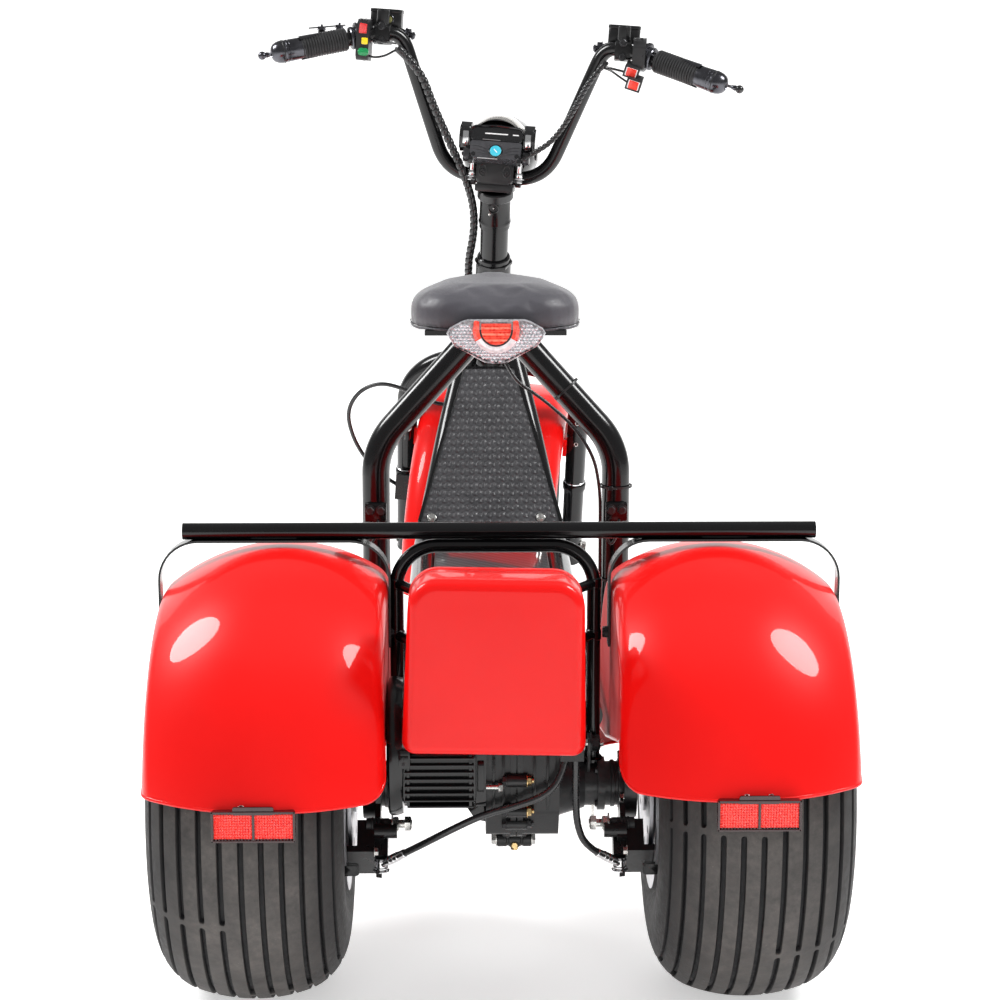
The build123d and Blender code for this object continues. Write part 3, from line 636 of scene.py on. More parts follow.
def piece(name, g, mats, body, turn=False, replaces=(), sharp=32, shell=None, recalc=True, subdiv=0):
    """Mesh object from the geometry, riding on a body."""
    V = np.array(g.v, dtype=float)
    M4 = np.array(ROW @ TURN if turn else ROW)
    V = V @ M4[:3, :3].T + M4[:3, 3]
    me = bpy.data.meshes.new(name)
    me.from_pydata([tuple(p) for p in V], [], g.f)
    # per-point tread mask, only set on the tyres: real wear plus painted shade
    at = me.attributes.new("wear_and_shade", "FLOAT", "POINT")
    at.data.foreach_set("value", np.array(g.mask, dtype=np.float32))
    for key in mats:
        me.materials.append(M[key])
    me.polygons.foreach_set("material_index", np.array(g.mi, dtype=np.int32))
    if recalc:
        bm = bmesh.new()
        bm.from_mesh(me)
        bmesh.ops.recalc_face_normals(bm, faces=bm.faces[:])
        bm.to_mesh(me)
        bm.free()
    me.polygons.foreach_set("use_smooth", np.ones(len(me.polygons), dtype=bool))
    o = bpy.data.objects.new(name, me)
    bpy.context.scene.collection.objects.link(o)
    if shell:
        md = o.modifiers.new("shell", "SOLIDIFY")
        md.thickness, md.offset = shell[0] / 1000, shell[1]
        if len(shell) > 2:
            md.material_offset = shell[2]
            md.material_offset_rim = 0
        apply_mods(o)
        me = o.data
    me.set_sharp_from_angle(angle=math.radians(sharp))
    if subdiv:
        md = o.modifiers.new("sub", "SUBSURF")
        md.levels = md.render_levels = subdiv
        apply_mods(o)
    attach(o, body)
    if replaces:
        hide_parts(*replaces)
    return o


def apply_mods(o):
    dg = bpy.context.evaluated_depsgraph_get()
    dg.update()
    new = bpy.data.meshes.new_from_object(o.evaluated_get(dg), preserve_all_data_layers=True, depsgraph=dg)
    old = o.data
    o.modifiers.clear()
    o.data = new
    new.name = old.name
    bpy.data.meshes.remove(old)


def arc3(a, b, c, n):
    """n + 1 points of the circle through three points of a plane."""
    (x1, y1), (x2, y2), (x3, y3) = a, b, c
    d = 2 * (x1 * (y2 - y3) + x2 * (y3 - y1) + x3 * (y1 - y2))
    ux = ((x1 ** 2 + y1 ** 2) * (y2 - y3) + (x2 ** 2 + y2 ** 2) * (y3 - y1) + (x3 ** 2 + y3 ** 2) * (y1 - y2)) / d
    uy = ((x1 ** 2 + y1 ** 2) * (x3 - x2) + (x2 ** 2 + y2 ** 2) * (x1 - x3) + (x3 ** 2 + y3 ** 2) * (x2 - x1)) / d
    r = math.hypot(x1 - ux, y1 - uy)
    t = [math.atan2(p[1] - uy, p[0] - ux) for p in (a, b, c)]
    if t[0] > t[2]:
        t = [t[0], t[1] if t[1] <= t[0] else t[1] - 2 * PI, t[2]]
    return [(ux + r * math.cos(t[0] + (t[2] - t[0]) * k / n), uy + r * math.sin(t[0] + (t[2] - t[0]) * k / n)) for k in range(n + 1)]


def sstep(t):
    t = min(1.0, max(0.0, t))
    return t * t * (3 - 2 * t)


# ------------------------------------------------------------------ finishes of the CAD nodes that stay
BY_NODE = {
    "frame": "frame_rail_left frame_rail_right frame_crossbars head_tube seat_tubes rear_hoop rear_cross_bar fender_straps "
             "seat_base tail_light_bracket tail_box_arms steering_stem fork handlebar bar_clamp",
    "red": "rear_fender_left rear_fender_right front_fender tail_box",
    "cast": "gearbox drive_motor rear_calipers front_caliper brake_controls hose_tee",
    "rough_cast": "axle_housing",
    "case": "battery_box footboard front_panel display_unit headlight switch_pods seat tail_light rear_reflectors",
    "alloy": "rear_rim_left rear_rim_right front_rim",
    "steel": "hose_fittings",
    "rubber": "rear_tyre_left rear_tyre_right front_tyre grips",
    "hose": "brake_hose_left brake_hose_right front_brake_hose tail_light_lead",
    "loom": "cable_loom_left cable_loom_right",
}
for key, names in BY_NODE.items():
    for n in names.split():
        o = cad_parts[n]
        o.data.materials.clear()
        o.data.materials.append(M[key])


# ------------------------------------------------------------------ tyres
HALF = (arc3((0, 228), (33.5, 224.93), (64, 216.5), 40) + arc3((64, 216.5), (94, 190), (103, 157), 60)[1:]
        + arc3((103, 157), (100.6, 135.6), (90, 115), 20)[1:])
SL = [0.0]
for a, b in zip(HALF, HALF[1:]):
    SL.append(SL[-1] + math.hypot(b[0] - a[0], b[1] - a[1]))
HX, HR = np.array([p[0] for p in HALF]), np.array([p[1] for p in HALF])
SL = np.array(SL)
GROOVES = [21.3 * i for i in range(-5, 6)]


def tyre_geo(center, flip, breaks_lo, breaks_hi, lean=None):
    """One tyre: crown with slotted circumferential grooves, shoulders, ringed sidewalls and beads.
    breaks_lo is the angle of the tie bars of the grooves i < 0 and breaks_hi of the others, from the rear, downward."""
    s_end = float(SL[-1])
    ss = set(np.linspace(-s_end, s_end, 61).tolist())
    for s0 in GROOVES:
        ss = {s for s in ss if abs(s - s0) > 4.4}
        for d in (-4.2, -3.3, -2.9, -2.5, -2.1, -1.0, 1.0, 2.1, 2.5, 2.9, 3.3, 4.2):
            ss.add(s0 + d)
    ss = sorted(ss)
    th = set(np.arange(0, 360, 3.0).tolist())
    fine = []
    for b0 in (breaks_lo, breaks_hi):
        for k in range(5):
            c = (b0 + 72 * k) % 360
            th = {t for t in th if abs((t - c + 180) % 360 - 180) > 3.3}
            fine += [(c + d) % 360 for d in (-3.0, -2.3, -1.95, -1.7, -1.45, -1.2, -1.0, -0.8, -0.4, 0, 0.4, 0.8, 1.0, 1.2, 1.45, 1.7, 1.95, 2.3, 3.0)]
    th = sorted(th | set(fine))
    nt, ns = len(th), len(ss)
    S = np.array(ss)
    A = np.abs(S)
    X = np.interp(A, SL, HX) * np.sign(S)
    Rr = np.interp(A, SL, HR)
    ds = 0.4
    X1, R1 = np.interp(np.minimum(A + ds, s_end), SL, HX), np.interp(np.minimum(A + ds, s_end), SL, HR)
    X0, R0 = np.interp(np.maximum(A - ds, 0), SL, HX), np.interp(np.maximum(A - ds, 0), SL, HR)
    tx, tr = X1 - X0, R1 - R0
    ln = np.hypot(tx, tr)
    nx, nr = -tr / ln * np.sign(S), tx / ln
    nx = np.where(A < 0.6, 0, nx)
    V, MK = np.zeros((nt, ns, 3)), np.zeros((nt, ns))
    ring = np.zeros(ns)
    for r0, w, h in ((150, 1.6, 0.9), (146, 1.2, 0.6), (124, 2.2, 1.2)):
        ring += h * np.clip(1 - np.abs(Rr - r0) / w, 0, 1) * (A > 120)
    side = np.clip((A - 40) / 62, 0, 1)
    for i, t in enumerate(th):
        depth = np.zeros(ns)
        for k, s0 in enumerate(GROOVES):
            b0 = breaks_lo if k < 5 else breaks_hi
            d = abs((t - b0 + 36) % 72 - 36)
            along = math.radians(d) * 224.0
            w = 2.75
            end = 3.7 + w
            near = np.abs(S - s0)
            dist = near if along >= end else np.hypot(near, end - along)
            q = np.clip((w + 0.35 - dist) / 0.95, 0, 1)
            q = q * q * (3 - 2 * q)
            deep = 5.4 if abs(s0) < 100 else 3.4
            depth = np.maximum(depth, deep * q)
            lip = np.clip(1 - np.abs(dist - w - 1.4) / 1.4, 0, 1)
            depth = depth - 0.0 * lip
        rr = Rr + nr * (ring - depth)
        xx = X + nx * (ring - depth)
        a = math.radians(t)
        V[i, :, 0] = xx
        V[i, :, 1] = -rr * math.cos(a)
        V[i, :, 2] = -rr * math.sin(a)
        # tread mask: real wear on the ribs plus painted shade, zero in the grooves and fading from the crown towards
        # the sidewalls
        top = np.clip(1 - depth / 1.2, 0, 1)
        MK[i] = np.where(top > 0, 0.25 + 0.75 * (1 - side), 0) * top
    if flip:
        V[:, :, 0] *= -1
    g = Geo()
    vs = V.reshape(-1, 3)
    # the inside of the ring, down to the rim
    inner = []
    for i, t in enumerate(th):
        a = math.radians(t)
        for x, r in ((90, 108), (88, 102.6), (40, 102.6), (-40, 102.6), (-88, 102.6), (-90, 108)):
            inner.append((-x if flip else x, -r * math.cos(a), -r * math.sin(a)))
    allv = np.concatenate([vs, np.array(inner)])
    fs = []
    base = nt * ns
    for i in range(nt):
        j = (i + 1) % nt
        for k in range(ns - 1):
            fs.append((i * ns + k, i * ns + k + 1, j * ns + k + 1, j * ns + k))
        ri, rj = [i * ns + ns - 1] + [base + i * 6 + q for q in range(6)] + [i * ns], [j * ns + ns - 1] + [base + j * 6 + q for q in range(6)] + [j * ns]
        for q in range(7):
            fs.append((ri[q], ri[q + 1], rj[q + 1], rj[q]))
    # the side facing the middle of the machine is a little flatter
    inward = np.sign(-center[0]) * allv[:, 0] > 0 if center[0] else np.zeros(len(allv), bool)
    allv[inward, 0] *= 0.955
    allv = allv + np.array(center)
    g.add(allv.tolist(), fs, 0, MK.reshape(-1).tolist() + [0.1] * len(inner))
    return g


for side, nm, lo, hi in ((-1, "left", 21.5, 57.5), (1, "right", -5.0 + 72, 33.5)):
    g = tyre_geo((-261.0 if side < 0 else 260.5, 0, 228.0), side > 0, lo if side < 0 else 33.5, hi if side < 0 else -5.0)
    piece("tread_%s" % nm, g, ["tyre"], "rear_wheel_%s" % nm, replaces=("rear_tyre_%s" % nm,), sharp=40)
g = tyre_geo((0, 1300.0, 228.8), False, 10.0, 46.0)
piece("tread_front", g, ["tyre"], "front_wheel", turn=True, replaces=("front_tyre",), sharp=40)


# ------------------------------------------------------------------ rear fenders
ZA = 228.0
WALL_LINE = [(-250, 348), (60, 264), (200, 236), (252, 210)]


def wall_radius(phi):
    """Distance from the axle to the lower edge of the inner wall, along the ray at phi (0 = rear, 90 = up)."""
    dy, dz = -math.cos(phi), math.sin(phi)
    for (y0, z0), (y1, z1) in zip(WALL_LINE, WALL_LINE[1:]):
        ey, ez = y1 - y0, z1 - z0
        det = dy * (-ez) + dz * ey
        if abs(det) < 1e-9:
            continue
        r = (y0 * (-ez) + (z0 - ZA) * ey) / det
        q = (dy * (z0 - ZA) - dz * y0) / det
        if r > 0 and -0.02 <= q <= 1.02:
            return r
    return 227.0


def fender_geo(z_rear, a_in, b_in):
    """Right-hand fender shell. Columns run from the outer skirt over the crown and down the inner wall."""
    cols = []
    xc, yc, Rc, q = 232.0, 76.0, 190.0, 27.0
    ro = yc + math.sqrt((Rc - q) ** 2 - (361.4 - q - xc) ** 2)
    ri = yc + math.sqrt((Rc - q) ** 2 - (119.5 + q - xc) ** 2)
    ao = math.atan2(ro - yc, 361.4 - q - xc)
    ai = math.atan2(ri - yc, 119.5 + q - xc)
    for k in range(3):
        cols.append((361.4, 195.6 + (ro - 195.6) * k / 3, (ro - 195.6) * k / 3, "s"))
    for k in range(13):
        a = ao * k / 12
        cols.append((361.4 - q + q * math.cos(a), ro + q * math.sin(a), ro - 195.6 + q * a, "s"))
    for k in range(1, 26):
        a = ao + (ai - ao) * k / 26
        cols.append((xc + Rc * math.cos(a), yc + Rc * math.sin(a), 99, "s"))
    for k in range(13):
        a = ai + (PI - ai) * k / 12
        cols.append((119.5 + q + q * math.cos(a), ri + q * math.sin(a), 99, "s"))
    ns = len(cols)
    N = 110

    def phi_lo(c):
        x, r, d, _ = cols[c]
        dz = 0.0
        if x < 119.5 + a_in:
            q = (119.5 + a_in - x) / a_in
            dz = b_in * (1 - math.sqrt(max(0, 1 - q * q)))
        if d < 16:
            dz = 16 - math.sqrt(max(0, 256 - (16 - d) ** 2))
        return math.asin(min(1, (z_rear + dz - ZA) / r))

    def phi_hi(c):
        x, r, d, _ = cols[c]
        dz = 0.0
        if d < 16:
            dz = 16 - math.sqrt(max(0, 256 - (16 - d) ** 2))
        return PI - math.asin((202 + dz - ZA) / r)

    W0, W1 = math.radians(28.8), math.radians(179.5)
    nw = 14
    total = ns + nw
    edge_lo, edge_in, edge_hi, edge_out = [], [], [], []

    def pos(c, j):
        q = j / N
        if c < ns:
            x, r = cols[c][0], cols[c][1]
            p0, p1 = phi_lo(c), phi_hi(c)
            if c == ns - 1:
                p0, p1 = W0, W1
            phi = p0 + (p1 - p0) * q
        else:
            phi = W0 + (W1 - W0) * q
            rb = min(ri - 0.8, wall_radius(phi))
            r = ri + (rb - ri) * (c - ns + 1) / nw
            x = 119.5
        y = -r * math.cos(phi)
        if x < 130 and y < -150:
            x = x - 3.0 * sstep((-150 - y) / 70) * (130 - x) / 10.5
        return (x, y, ZA + r * math.sin(phi))

    g = Geo()
    g_grid(g, lambda i, j: pos(i, j), total - 1, N)
    g.mi = [1 if k // N >= ns - 1 else 0 for k in range(len(g.mi))]
    bead = Geo()
    path = [pos(0, j) for j in range(N, -1, -2)] + [pos(c, 0) for c in range(1, ns)]
    path += [pos(total - 1, j) for j in range(0, N + 1, 2)] + [pos(c, N) for c in range(ns - 1, 0, -1)]
    cen = []
    for p in path:
        d = Vector((0, -p[1], ZA - p[2])).normalized()
        ins = 1.3 * max(0.0, min(1.0, (math.hypot(p[1], p[2] - ZA) - 214) / 30))
        xi = 1.3 if p[0] > 300 else (-1.3 if p[0] < 180 else 0)
        cen.append(Vector(p) + d * ins - Vector((xi, 0, 0)))
    keep = [cen[0]]
    for p in cen[1:]:
        if (p - keep[-1]).length > 2.0:
            keep.append(p)
    g_tube(bead, smooth_path(keep, 4.0, closed=True), 2.1, 1, 8, closed=True)
    return g, bead


def strap_geo():
    """Flat strap hoop over one fender, with the screws at its ends."""
    g = Geo()
    pts = [(117.6, 384)] + [(117.6, 400), (117.6, 430)] + \
          [(117.6 + 42 - 42 * math.cos(math.radians(t)), 459.0 + 42 * math.sin(math.radians(t)) - 0.6) for t in range(0, 91, 9)] + \
          [(x, 500.4) for x in (180, 210, 240, 270, 300)] + \
          [(363.3 - 42 + 42 * math.sin(math.radians(t)), 459.0 + 42 * math.cos(math.radians(t)) - 0.6) for t in range(0, 91, 9)] + [(363.3, 440), (363.3, 414)]
    path = [(x, 0, z) for x, z in pts]
    N = []
    for i in range(len(path)):
        a, b = Vector(path[max(i - 1, 0)]), Vector(path[min(i + 1, len(path) - 1)])
        t = (b - a).normalized()
        N.append(Vector((t.z, 0, -t.x)))
    N = [-n for n in N] if N[len(N) // 2].z < 0 else N
    P = [Vector(p) - n * 1.3 for p, n in zip(path, N)]
    g_band(g, P, N, 21, 2.4, 0)
    g_socket(g, (364.0, 0, 421), (1, 0, 0), 4.6, 1.9, 1, 2)
    g_cyl(g, (117.6, 0, 398), (113.5, 0, 398), 6.5, 1, 24, 0.4)
    g_hex(g, (114.2, 0, 398), (-1, 0, 0), 6.2, 3.4, 1)
    return g


for side, nm, zr, a_in, b_in in ((-1, "left", 283.0, 16.0, 18.0), (1, "right", 292.0, 16.0, 24.0)):
    g, bead = fender_geo(zr, a_in, b_in)
    st = strap_geo()
    if side < 0:
        g, bead, st = g.mirrored(), bead.mirrored(), st.mirrored()
    piece("fender_%s" % nm, g, ["red", "red_inner"], "frame", replaces=("rear_fender_%s" % nm,), sharp=50,
          shell=(2.6, -1.0 if side > 0 else -1.0, 1), recalc=True)
    piece("fender_bead_%s" % nm, bead, ["red", "red"], "frame", sharp=60)
    piece("strap_%s" % nm, st, ["frame", "steel_dark", "case"], "frame", replaces=("fender_straps",) if side > 0 else (), sharp=30)


# ------------------------------------------------------------------ cross bar and tail box
g = Geo()
for s in (-1, 1):
    g_lathe(g, (s * 326, 0, 510), (s, 0, 0), [(0, 0), (0, 9.0), (3, 9.0), (4, 8.95), (11.0, 8.95), (11.8, 8.3), (12, 7.4), (11.2, 6.4), (8, 6.2), (8, 0)], 40, 0)
    g_lathe(g, (s * 325.4, 0, 510), (s, 0, 0), [(0, 9.0), (0.5, 9.03), (1.0, 9.0)], 40, 0)
# weld beads where the fender straps and the hoop meet the bar
for x0 in (-240.4, 240.4):
    for s in (-1, 1):
        for q in range(22):
            a = -0.9 + 1.8 * q / 21
            g_sphere(g, (x0 + s * 0 + (q - 10.5) * 2.2, s * 6.6, 503.2), 1.5, 0, 8)
piece("cross_bar_ends", g, ["frame"], "frame", sharp=35)

BX = -7.0
TILT = math.radians(1.1)   # the box hangs a little lower on its right


def box_loop(inset, y, xs=0.0):
    """One loop of the tail box outline, drawn in by inset along its own normals."""
    top, bot = 30.0, 14.0
    z0, z1 = 317.0, 498.0
    pts = []
    n = 12
    for (sx, sz, a0, q) in ((-1, -1, 180, bot), (1, -1, 270, bot), (1, 1, 0, top), (-1, 1, 90, top)):
        hw = 92.6 if sz < 0 else 88.5
        cx, cz = sx * (hw - q), (z0 + q) if sz < 0 else (z1 - q)
        for k in range(n + 1):
            a = math.radians(a0 + 90 * k / n)
            pts.append((cx + (q - inset) * math.cos(a), cz + (q - inset) * math.sin(a), math.cos(a), math.sin(a)))
    ca, sa, zm = math.cos(TILT), math.sin(TILT), 407.5
    return [(BX + p[0] * ca + (p[1] - zm) * sa, y, zm - p[0] * sa + (p[1] - zm) * ca) for p in pts]


def sub_loop(loop, m=3):
    """More points along the straight runs of a loop."""
    out, n = [], len(loop)
    for i in range(n):
        a, b = Vector(loop[i]), Vector(loop[(i + 1) % n])
        k = 10 if (b - a).length > 30 else 1
        for q in range(k):
            out.append(a.lerp(b, q / k))
    return out


def tailbox_geo():
    g = Geo()
    loops = []
    depth = [(-126.0, 1.6), (-127.5, 0.4), (-130.0, 0.0), (-140.0, 0.0), (-140.6, 0.4), (-141.0, 1.3), (-142.4, 1.3), (-142.8, 0.4), (-143.6, 0.0),
             (-160, 0.0), (-172, 0.0), (-180, 0.15)]
    for y, ins in depth:
        loops.append(sub_loop(box_loop(ins, y)))
    R = 11.0
    y0 = -193.4
    for k in range(1, 10):
        a = math.radians(10 * k)
        loops.append(sub_loop(box_loop(0.15 + R * (1 - math.cos(a)), y0 + R - R * math.sin(a) - 0.0)))
    rim = loops[-1]
    cen = Vector((BX, 0, 407.5))
    for k in range(1, 12):
        q = 1 - k / 12
        lp = []
        for p in rim:
            x, z = cen.x + (p.x - cen.x) * q, cen.z + (p.z - cen.z) * q
            # a shallow dome with a slight flat near the middle
            dome = 1.6 * (1 - max(abs(x - cen.x) / 82.0, abs(z - cen.z) / 80.0) ** 2.2)
            lp.append(Vector((x, y0 - dome * sstep((1 - q) * 3 + 0.05), z)))
        loops.append(lp)
    n = len(rim)
    vs = [p for lp in loops for p in lp]
    fs = []
    for i in range(len(loops) - 1):
        for k in range(n):
            k2 = (k + 1) % n
            fs.append((i * n + k, i * n + k2, (i + 1) * n + k2, (i + 1) * n + k))
    vs.append(Vector((BX, y0 - 1.6, 407.5)))
    c = len(vs) - 1
    for k in range(n):
        fs.append(((len(loops) - 1) * n + k, (len(loops) - 1) * n + (k + 1) % n, c))
    g.add(vs, fs, 0)
    return g


g = tailbox_geo()
# the black plate behind it, with its fixing screws
g_prism(g, [(p[0], p[2]) for p in box_loop(2.0, 0)], -128.0, -125.0, lambda u, v, w: (u, w, v), 1, 0.6)
for sx in (-1, 1):
    for z in (395, 452):
        g_cyl(g, (BX + sx * 74, -126, z), (BX + sx * 74, -121.5, z), 10, 1, 28, 0.8)
        g_hex(g, (BX + sx * 60, -125, z), (0, 1, 0), 5, 3.5, 2, 0.8)
piece("tail_box_shell", g, ["red", "case", "steel"], "frame", replaces=("tail_box",), sharp=38)


# ------------------------------------------------------------------ reflectors
def reflector_geo(x0, x1, z0, z1):
    g = Geo()
    xm = (x0 + x1) / 2
    g_prism(g, rrect(x0, x1, z0, z1, 3.2, 4), -262.5, -256.4, lambda u, v, w: (u, w, v), 0, 0.7)
    # raised rim and middle bar, with teeth along the top and bottom
    t = 2.1
    g_prism(g, rrect(x0, x1, z0, z0 + t, 1.0, 2), -265.6, -262, lambda u, v, w: (u, w, v), 0, 0.4)
    g_prism(g, rrect(x0, x1, z1 - t, z1, 1.0, 2), -265.6, -262, lambda u, v, w: (u, w, v), 0, 0.4)
    g_prism(g, rrect(x0, x0 + t, z0, z1, 1.0, 2), -265.6, -262, lambda u, v, w: (u, w, v), 0, 0.4)
    g_prism(g, rrect(x1 - t, x1, z0, z1, 1.0, 2), -265.6, -262, lambda u, v, w: (u, w, v), 0, 0.4)
    g_prism(g, rrect(xm - 1.0, xm + 1.0, z0 + t, z1 - t, 0.3, 1), -265.0, -262, lambda u, v, w: (u, w, v), 0, 0.2)
    n = int((x1 - x0 - 6) / 3.1)
    for k in range(n):
        x = x0 + 3 + (x1 - x0 - 6) * (k + 0.5) / n
        for zz, dz in ((z0 + t, 1.5), (z1 - t, -1.5)):
            g_prism(g, [(x - 1.2, zz), (x, zz + dz), (x + 1.2, zz)] if dz > 0 else [(x - 1.2, zz), (x + 1.2, zz), (x, zz + dz)],
                    -264.6, -262, lambda u, v, w: (u, w, v), 0)
    # two prismatic halves
    for a, b in ((x0 + t + 0.4, xm - 1.3), (xm + 1.3, x1 - t - 0.4)):
        zl, zh = z0 + t + 1.2, z1 - t - 1.2
        nx, nz = max(4, int(round((b - a) / 2.7))), max(4, int(round((zh - zl) / 2.7)))
        vs, fs = [], []
        for i in range(nx + 1):
            for j in range(nz + 1):
                vs.append((a + (b - a) * i / nx, -263.6, zl + (zh - zl) * j / nz))
        for i in range(nx):
            for j in range(nz):
                q = [i * (nz + 1) + j, (i + 1) * (nz + 1) + j, (i + 1) * (nz + 1) + j + 1, i * (nz + 1) + j + 1]
                c = len(vs)
                vs.append((a + (b - a) * (i + 0.5) / nx + 0.35, -264.75, zl + (zh - zl) * (j + 0.5) / nz - 0.35))
                for e in range(4):
                    fs.append((q[e], q[(e + 1) % 4], c))
        g.add(vs, fs, 1)
        g_prism(g, [(a, zl), (b, zl), (b, zh), (a, zh)], -263.7, -262.0, lambda u, v, w: (u, w, v), 1)
    # tab and screw that hang it from the fender
    g_prism(g, rrect(xm - 20, xm + 20, z1 - 4, z1 + 4.5, 2.0, 3), -264.2, -262.0, lambda u, v, w: (u, w, v), 0, 0.4)
    for s in (-1, 1):
        g_cyl(g, (xm + s * 12, -258.6, z1 + 1), (xm + s * 12, -256.2, z1 + 1), 3.6, 2, 16, 0.3)
    return g


gl = reflector_geo(-285, -203, 254, 285.4)
gr = reflector_geo(209, 291, 263, 294.4)
piece("reflectors", gl.join(gr), ["maroon", "reflex", "steel"], "frame", replaces=("rear_reflectors",), sharp=20)


# ------------------------------------------------------------------ motor, gearbox, axle
def swap(u, v, w):
    """Outline in (Y, z), extruded over X."""
    return (w, u, v)


g = Geo()
prof = [(0, 0), (0, 14), (0.8, 15), (0.8, 46), (0.0, 48), (0, 66), (1.2, 70.6), (3.2, 72.7), (6.5, 73), (9.8, 72.7), (16.0, 70.6), (17, 66), (17, 0)]
g_lathe(g, (-118, -80, 296), (1, 0, 0), prof, 96, 0)
g_lathe(g, (-118, -80, 296), (1, 0, 0), [(0.4, 52), (0.1, 53), (0.1, 58), (0.4, 59)], 96, 0, closed=True)
for k in range(6):
    a = math.radians(60 * k + 20)
    g_socket(g, (-118, -80 + 36 * math.cos(a), 296 + 36 * math.sin(a)), (-1, 0, 0), 3.6, 2.6, 1, 2)
# finned body
core = rrect(-144.5, -34, 251, 309.5, 8, 5)
g_prism(g, core, -101, -27, swap, 0, 1.0)
for k in range(9):
    z = 250.2 + 7.45 * k
    ins = 0.0 if 0 < k < 8 else 2.6
    g_prism(g, rrect(-150 + ins, -30 + ins, z - 1.25, z + 1.25, 0.9, 2), -99.5 + ins, -28.5, lambda u, v, w: (w, u, v), 0, 0.5)
for x in (-96, -32):
    g_box(g, (x - 1.6, -147.2, 251), (x + 1.6, -33, 310.5), 0, 0.5)
g_prism(g, rrect(-134, -30, 244, 314, 8, 5), -27, -16, swap, 0, 1.2)
g_prism(g, rrect(-138, -120, 262, 296, 5, 4), -25, -18, swap, 0, 0.8)
# terminal block at the top of the drum and its cable gland
g_box(g, (-107.5, -151, 292), (-93.5, -120, 312), 0, 1.6)
g_box(g, (-105.5, -152.4, 295), (-95.5, -150.5, 306), 0, 0.6)
for z in (297.5, 303.5):
    g_socket(g, (-100.5, -152.3, z), (0, -1, 0), 1.7, 1.2, 1, 2)
# lower end of the casing beside the gearbox, cut off at a slant
g_prism(g, [(-38, 262), (-38, 243), (-27, 226), (-16.2, 224), (-16.2, 262)], -118, -44, lambda u, v, w: (u, w, v), 0, 2.0, 3)
for k, (y, z) in enumerate(((-128, 250), (-128, 308), (-36, 250), (-36, 308))):
    g_hex(g, (-27, y, z), (-1, 0, 0), 5.0, 3.6, 1, 0.8)
piece("motor_shell", g, ["frame", "steel_dark", "case"], "frame", replaces=("drive_motor",), sharp=30)

GB = [(-128, 312), (-128, 238), (-102, 205), (-44, 190), (30, 190), (50, 206), (54, 262), (22, 312)]


def round_poly(poly, r, n=5):
    out, m = [], len(poly)
    for i in range(m):
        p, q, s = Vector(poly[i - 1]), Vector(poly[i]), Vector(poly[(i + 1) % m])
        a, b = (p - q).normalized(), (s - q).normalized()
        ang = a.angle(b)
        d = min(r / math.tan(ang / 2), (p - q).length * 0.45, (s - q).length * 0.45)
        for k in range(n + 1):
            t = k / n
            out.append(tuple((q + a * d) * (1 - t) ** 2 + q * (2 * t * (1 - t)) + (q + b * d) * t ** 2))
    return out


def offset_poly(poly, d):
    m = len(poly)
    area = sum(poly[i][0] * poly[(i + 1) % m][1] - poly[(i + 1) % m][0] * poly[i][1] for i in range(m))
    s = 1 if area > 0 else -1
    out = []
    for i in range(m):
        p, q, r = Vector(poly[i - 1]), Vector(poly[i]), Vector(poly[(i + 1) % m])
        a, b = (q - p).normalized(), (r - q).normalized()
        na, nb = Vector((a.y, -a.x)) * s, Vector((b.y, -b.x)) * s
        k = (na + nb).normalized()
        out.append(tuple(q + k * (d / max(0.3, k.dot(na)))))
    return out


g = Geo()
body = round_poly(GB, 12)
g_prism(g, body, -16, 14.6, swap, 0, 3.0, 3)
g_prism(g, body, 17.4, 60, swap, 0, 5.0, 3)
g_prism(g, offset_poly(body, -2.5), 14, 18, swap, 0)
g_prism(g, offset_poly(body, 2.2), 9.5, 15.2, swap, 0, 0.7)
g_prism(g, offset_poly(body, 2.2), 16.6, 22.4, swap, 0, 0.7)
# bosses and through-bolts of the split line
for y, z in ((-133, 273.5), (-133, 241), (-116, 222), (-72, 200), (-10, 190), (38, 200)):
    g_cyl(g, (5.5, y, z), (26, y, z), 6.6, 0, 28, 1.0)
    g_hex(g, (26, y, z), (1, 0, 0), 5.2, 4.2, 1 if z > 240 else 2, 1.0, 0.3)
    g_cyl(g, (31, y, z), (33.6, y, z), 2.6, 1 if z > 240 else 2, 16, 0.5)
    g_hex(g, (5.5, y, z), (-1, 0, 0), 5.2, 4.0, 2, 1.0, 0.1)
# ribs on the rear face
for x in (-8, 2, 34, 48):
    g_prism(g, [(-128, 306), (-131.2, 300), (-131.2, 246), (-128, 240)], x - 1.4, x + 1.4, swap, 0, 0.5)
g_cyl(g, (-16, -137, 268), (-2, -137, 268), 2.4, 3, 16, 0.4)
g_hex(g, (-3, -137, 268), (1, 0, 0), 4.2, 4.2, 3, 0.8, 0.25)
# drain barrel with its plug and the small screw beneath
g_lathe(g, (-4, -56, 185), (1, 0, 0), [(0, 0), (0, 7.8), (1.2, 9), (10, 9), (11, 8.2), (12.4, 8.2), (13.4, 9), (25, 9), (26, 8.2), (27.4, 8.2), (28.4, 9), (36, 9), (37, 7.8), (37, 0)], 40, 0)
g_box(g, (2, -64, 186), (28, -48, 194), 0, 1.5)
g_hex(g, (-4, -56, 185), (-1, 0, 0), 6.6, 4.5, 3, 1.2)
g_hex(g, (33, -56, 185), (1, 0, 0), 6.6, 3.5, 3, 1.0)
g_hex(g, (15, -58, 177.6), (0, 0, -1), 4.4, 3.6, 1, 0.9, 0.2)
g_hex(g, (15, -57, 180), (0, -1, 0), 3.8, 9.6, 1)
# breather and input boss on the top
g_cyl(g, (24, -70, 311), (24, -70, 320), 7, 0, 28, 1.2)
g_hex(g, (24, -70, 320), (0, 0, 1), 5.5, 5, 3)
piece("gearbox_shell", g, ["cast", "brass", "steel_dark", "steel"], "frame", replaces=("gearbox",), sharp=30)

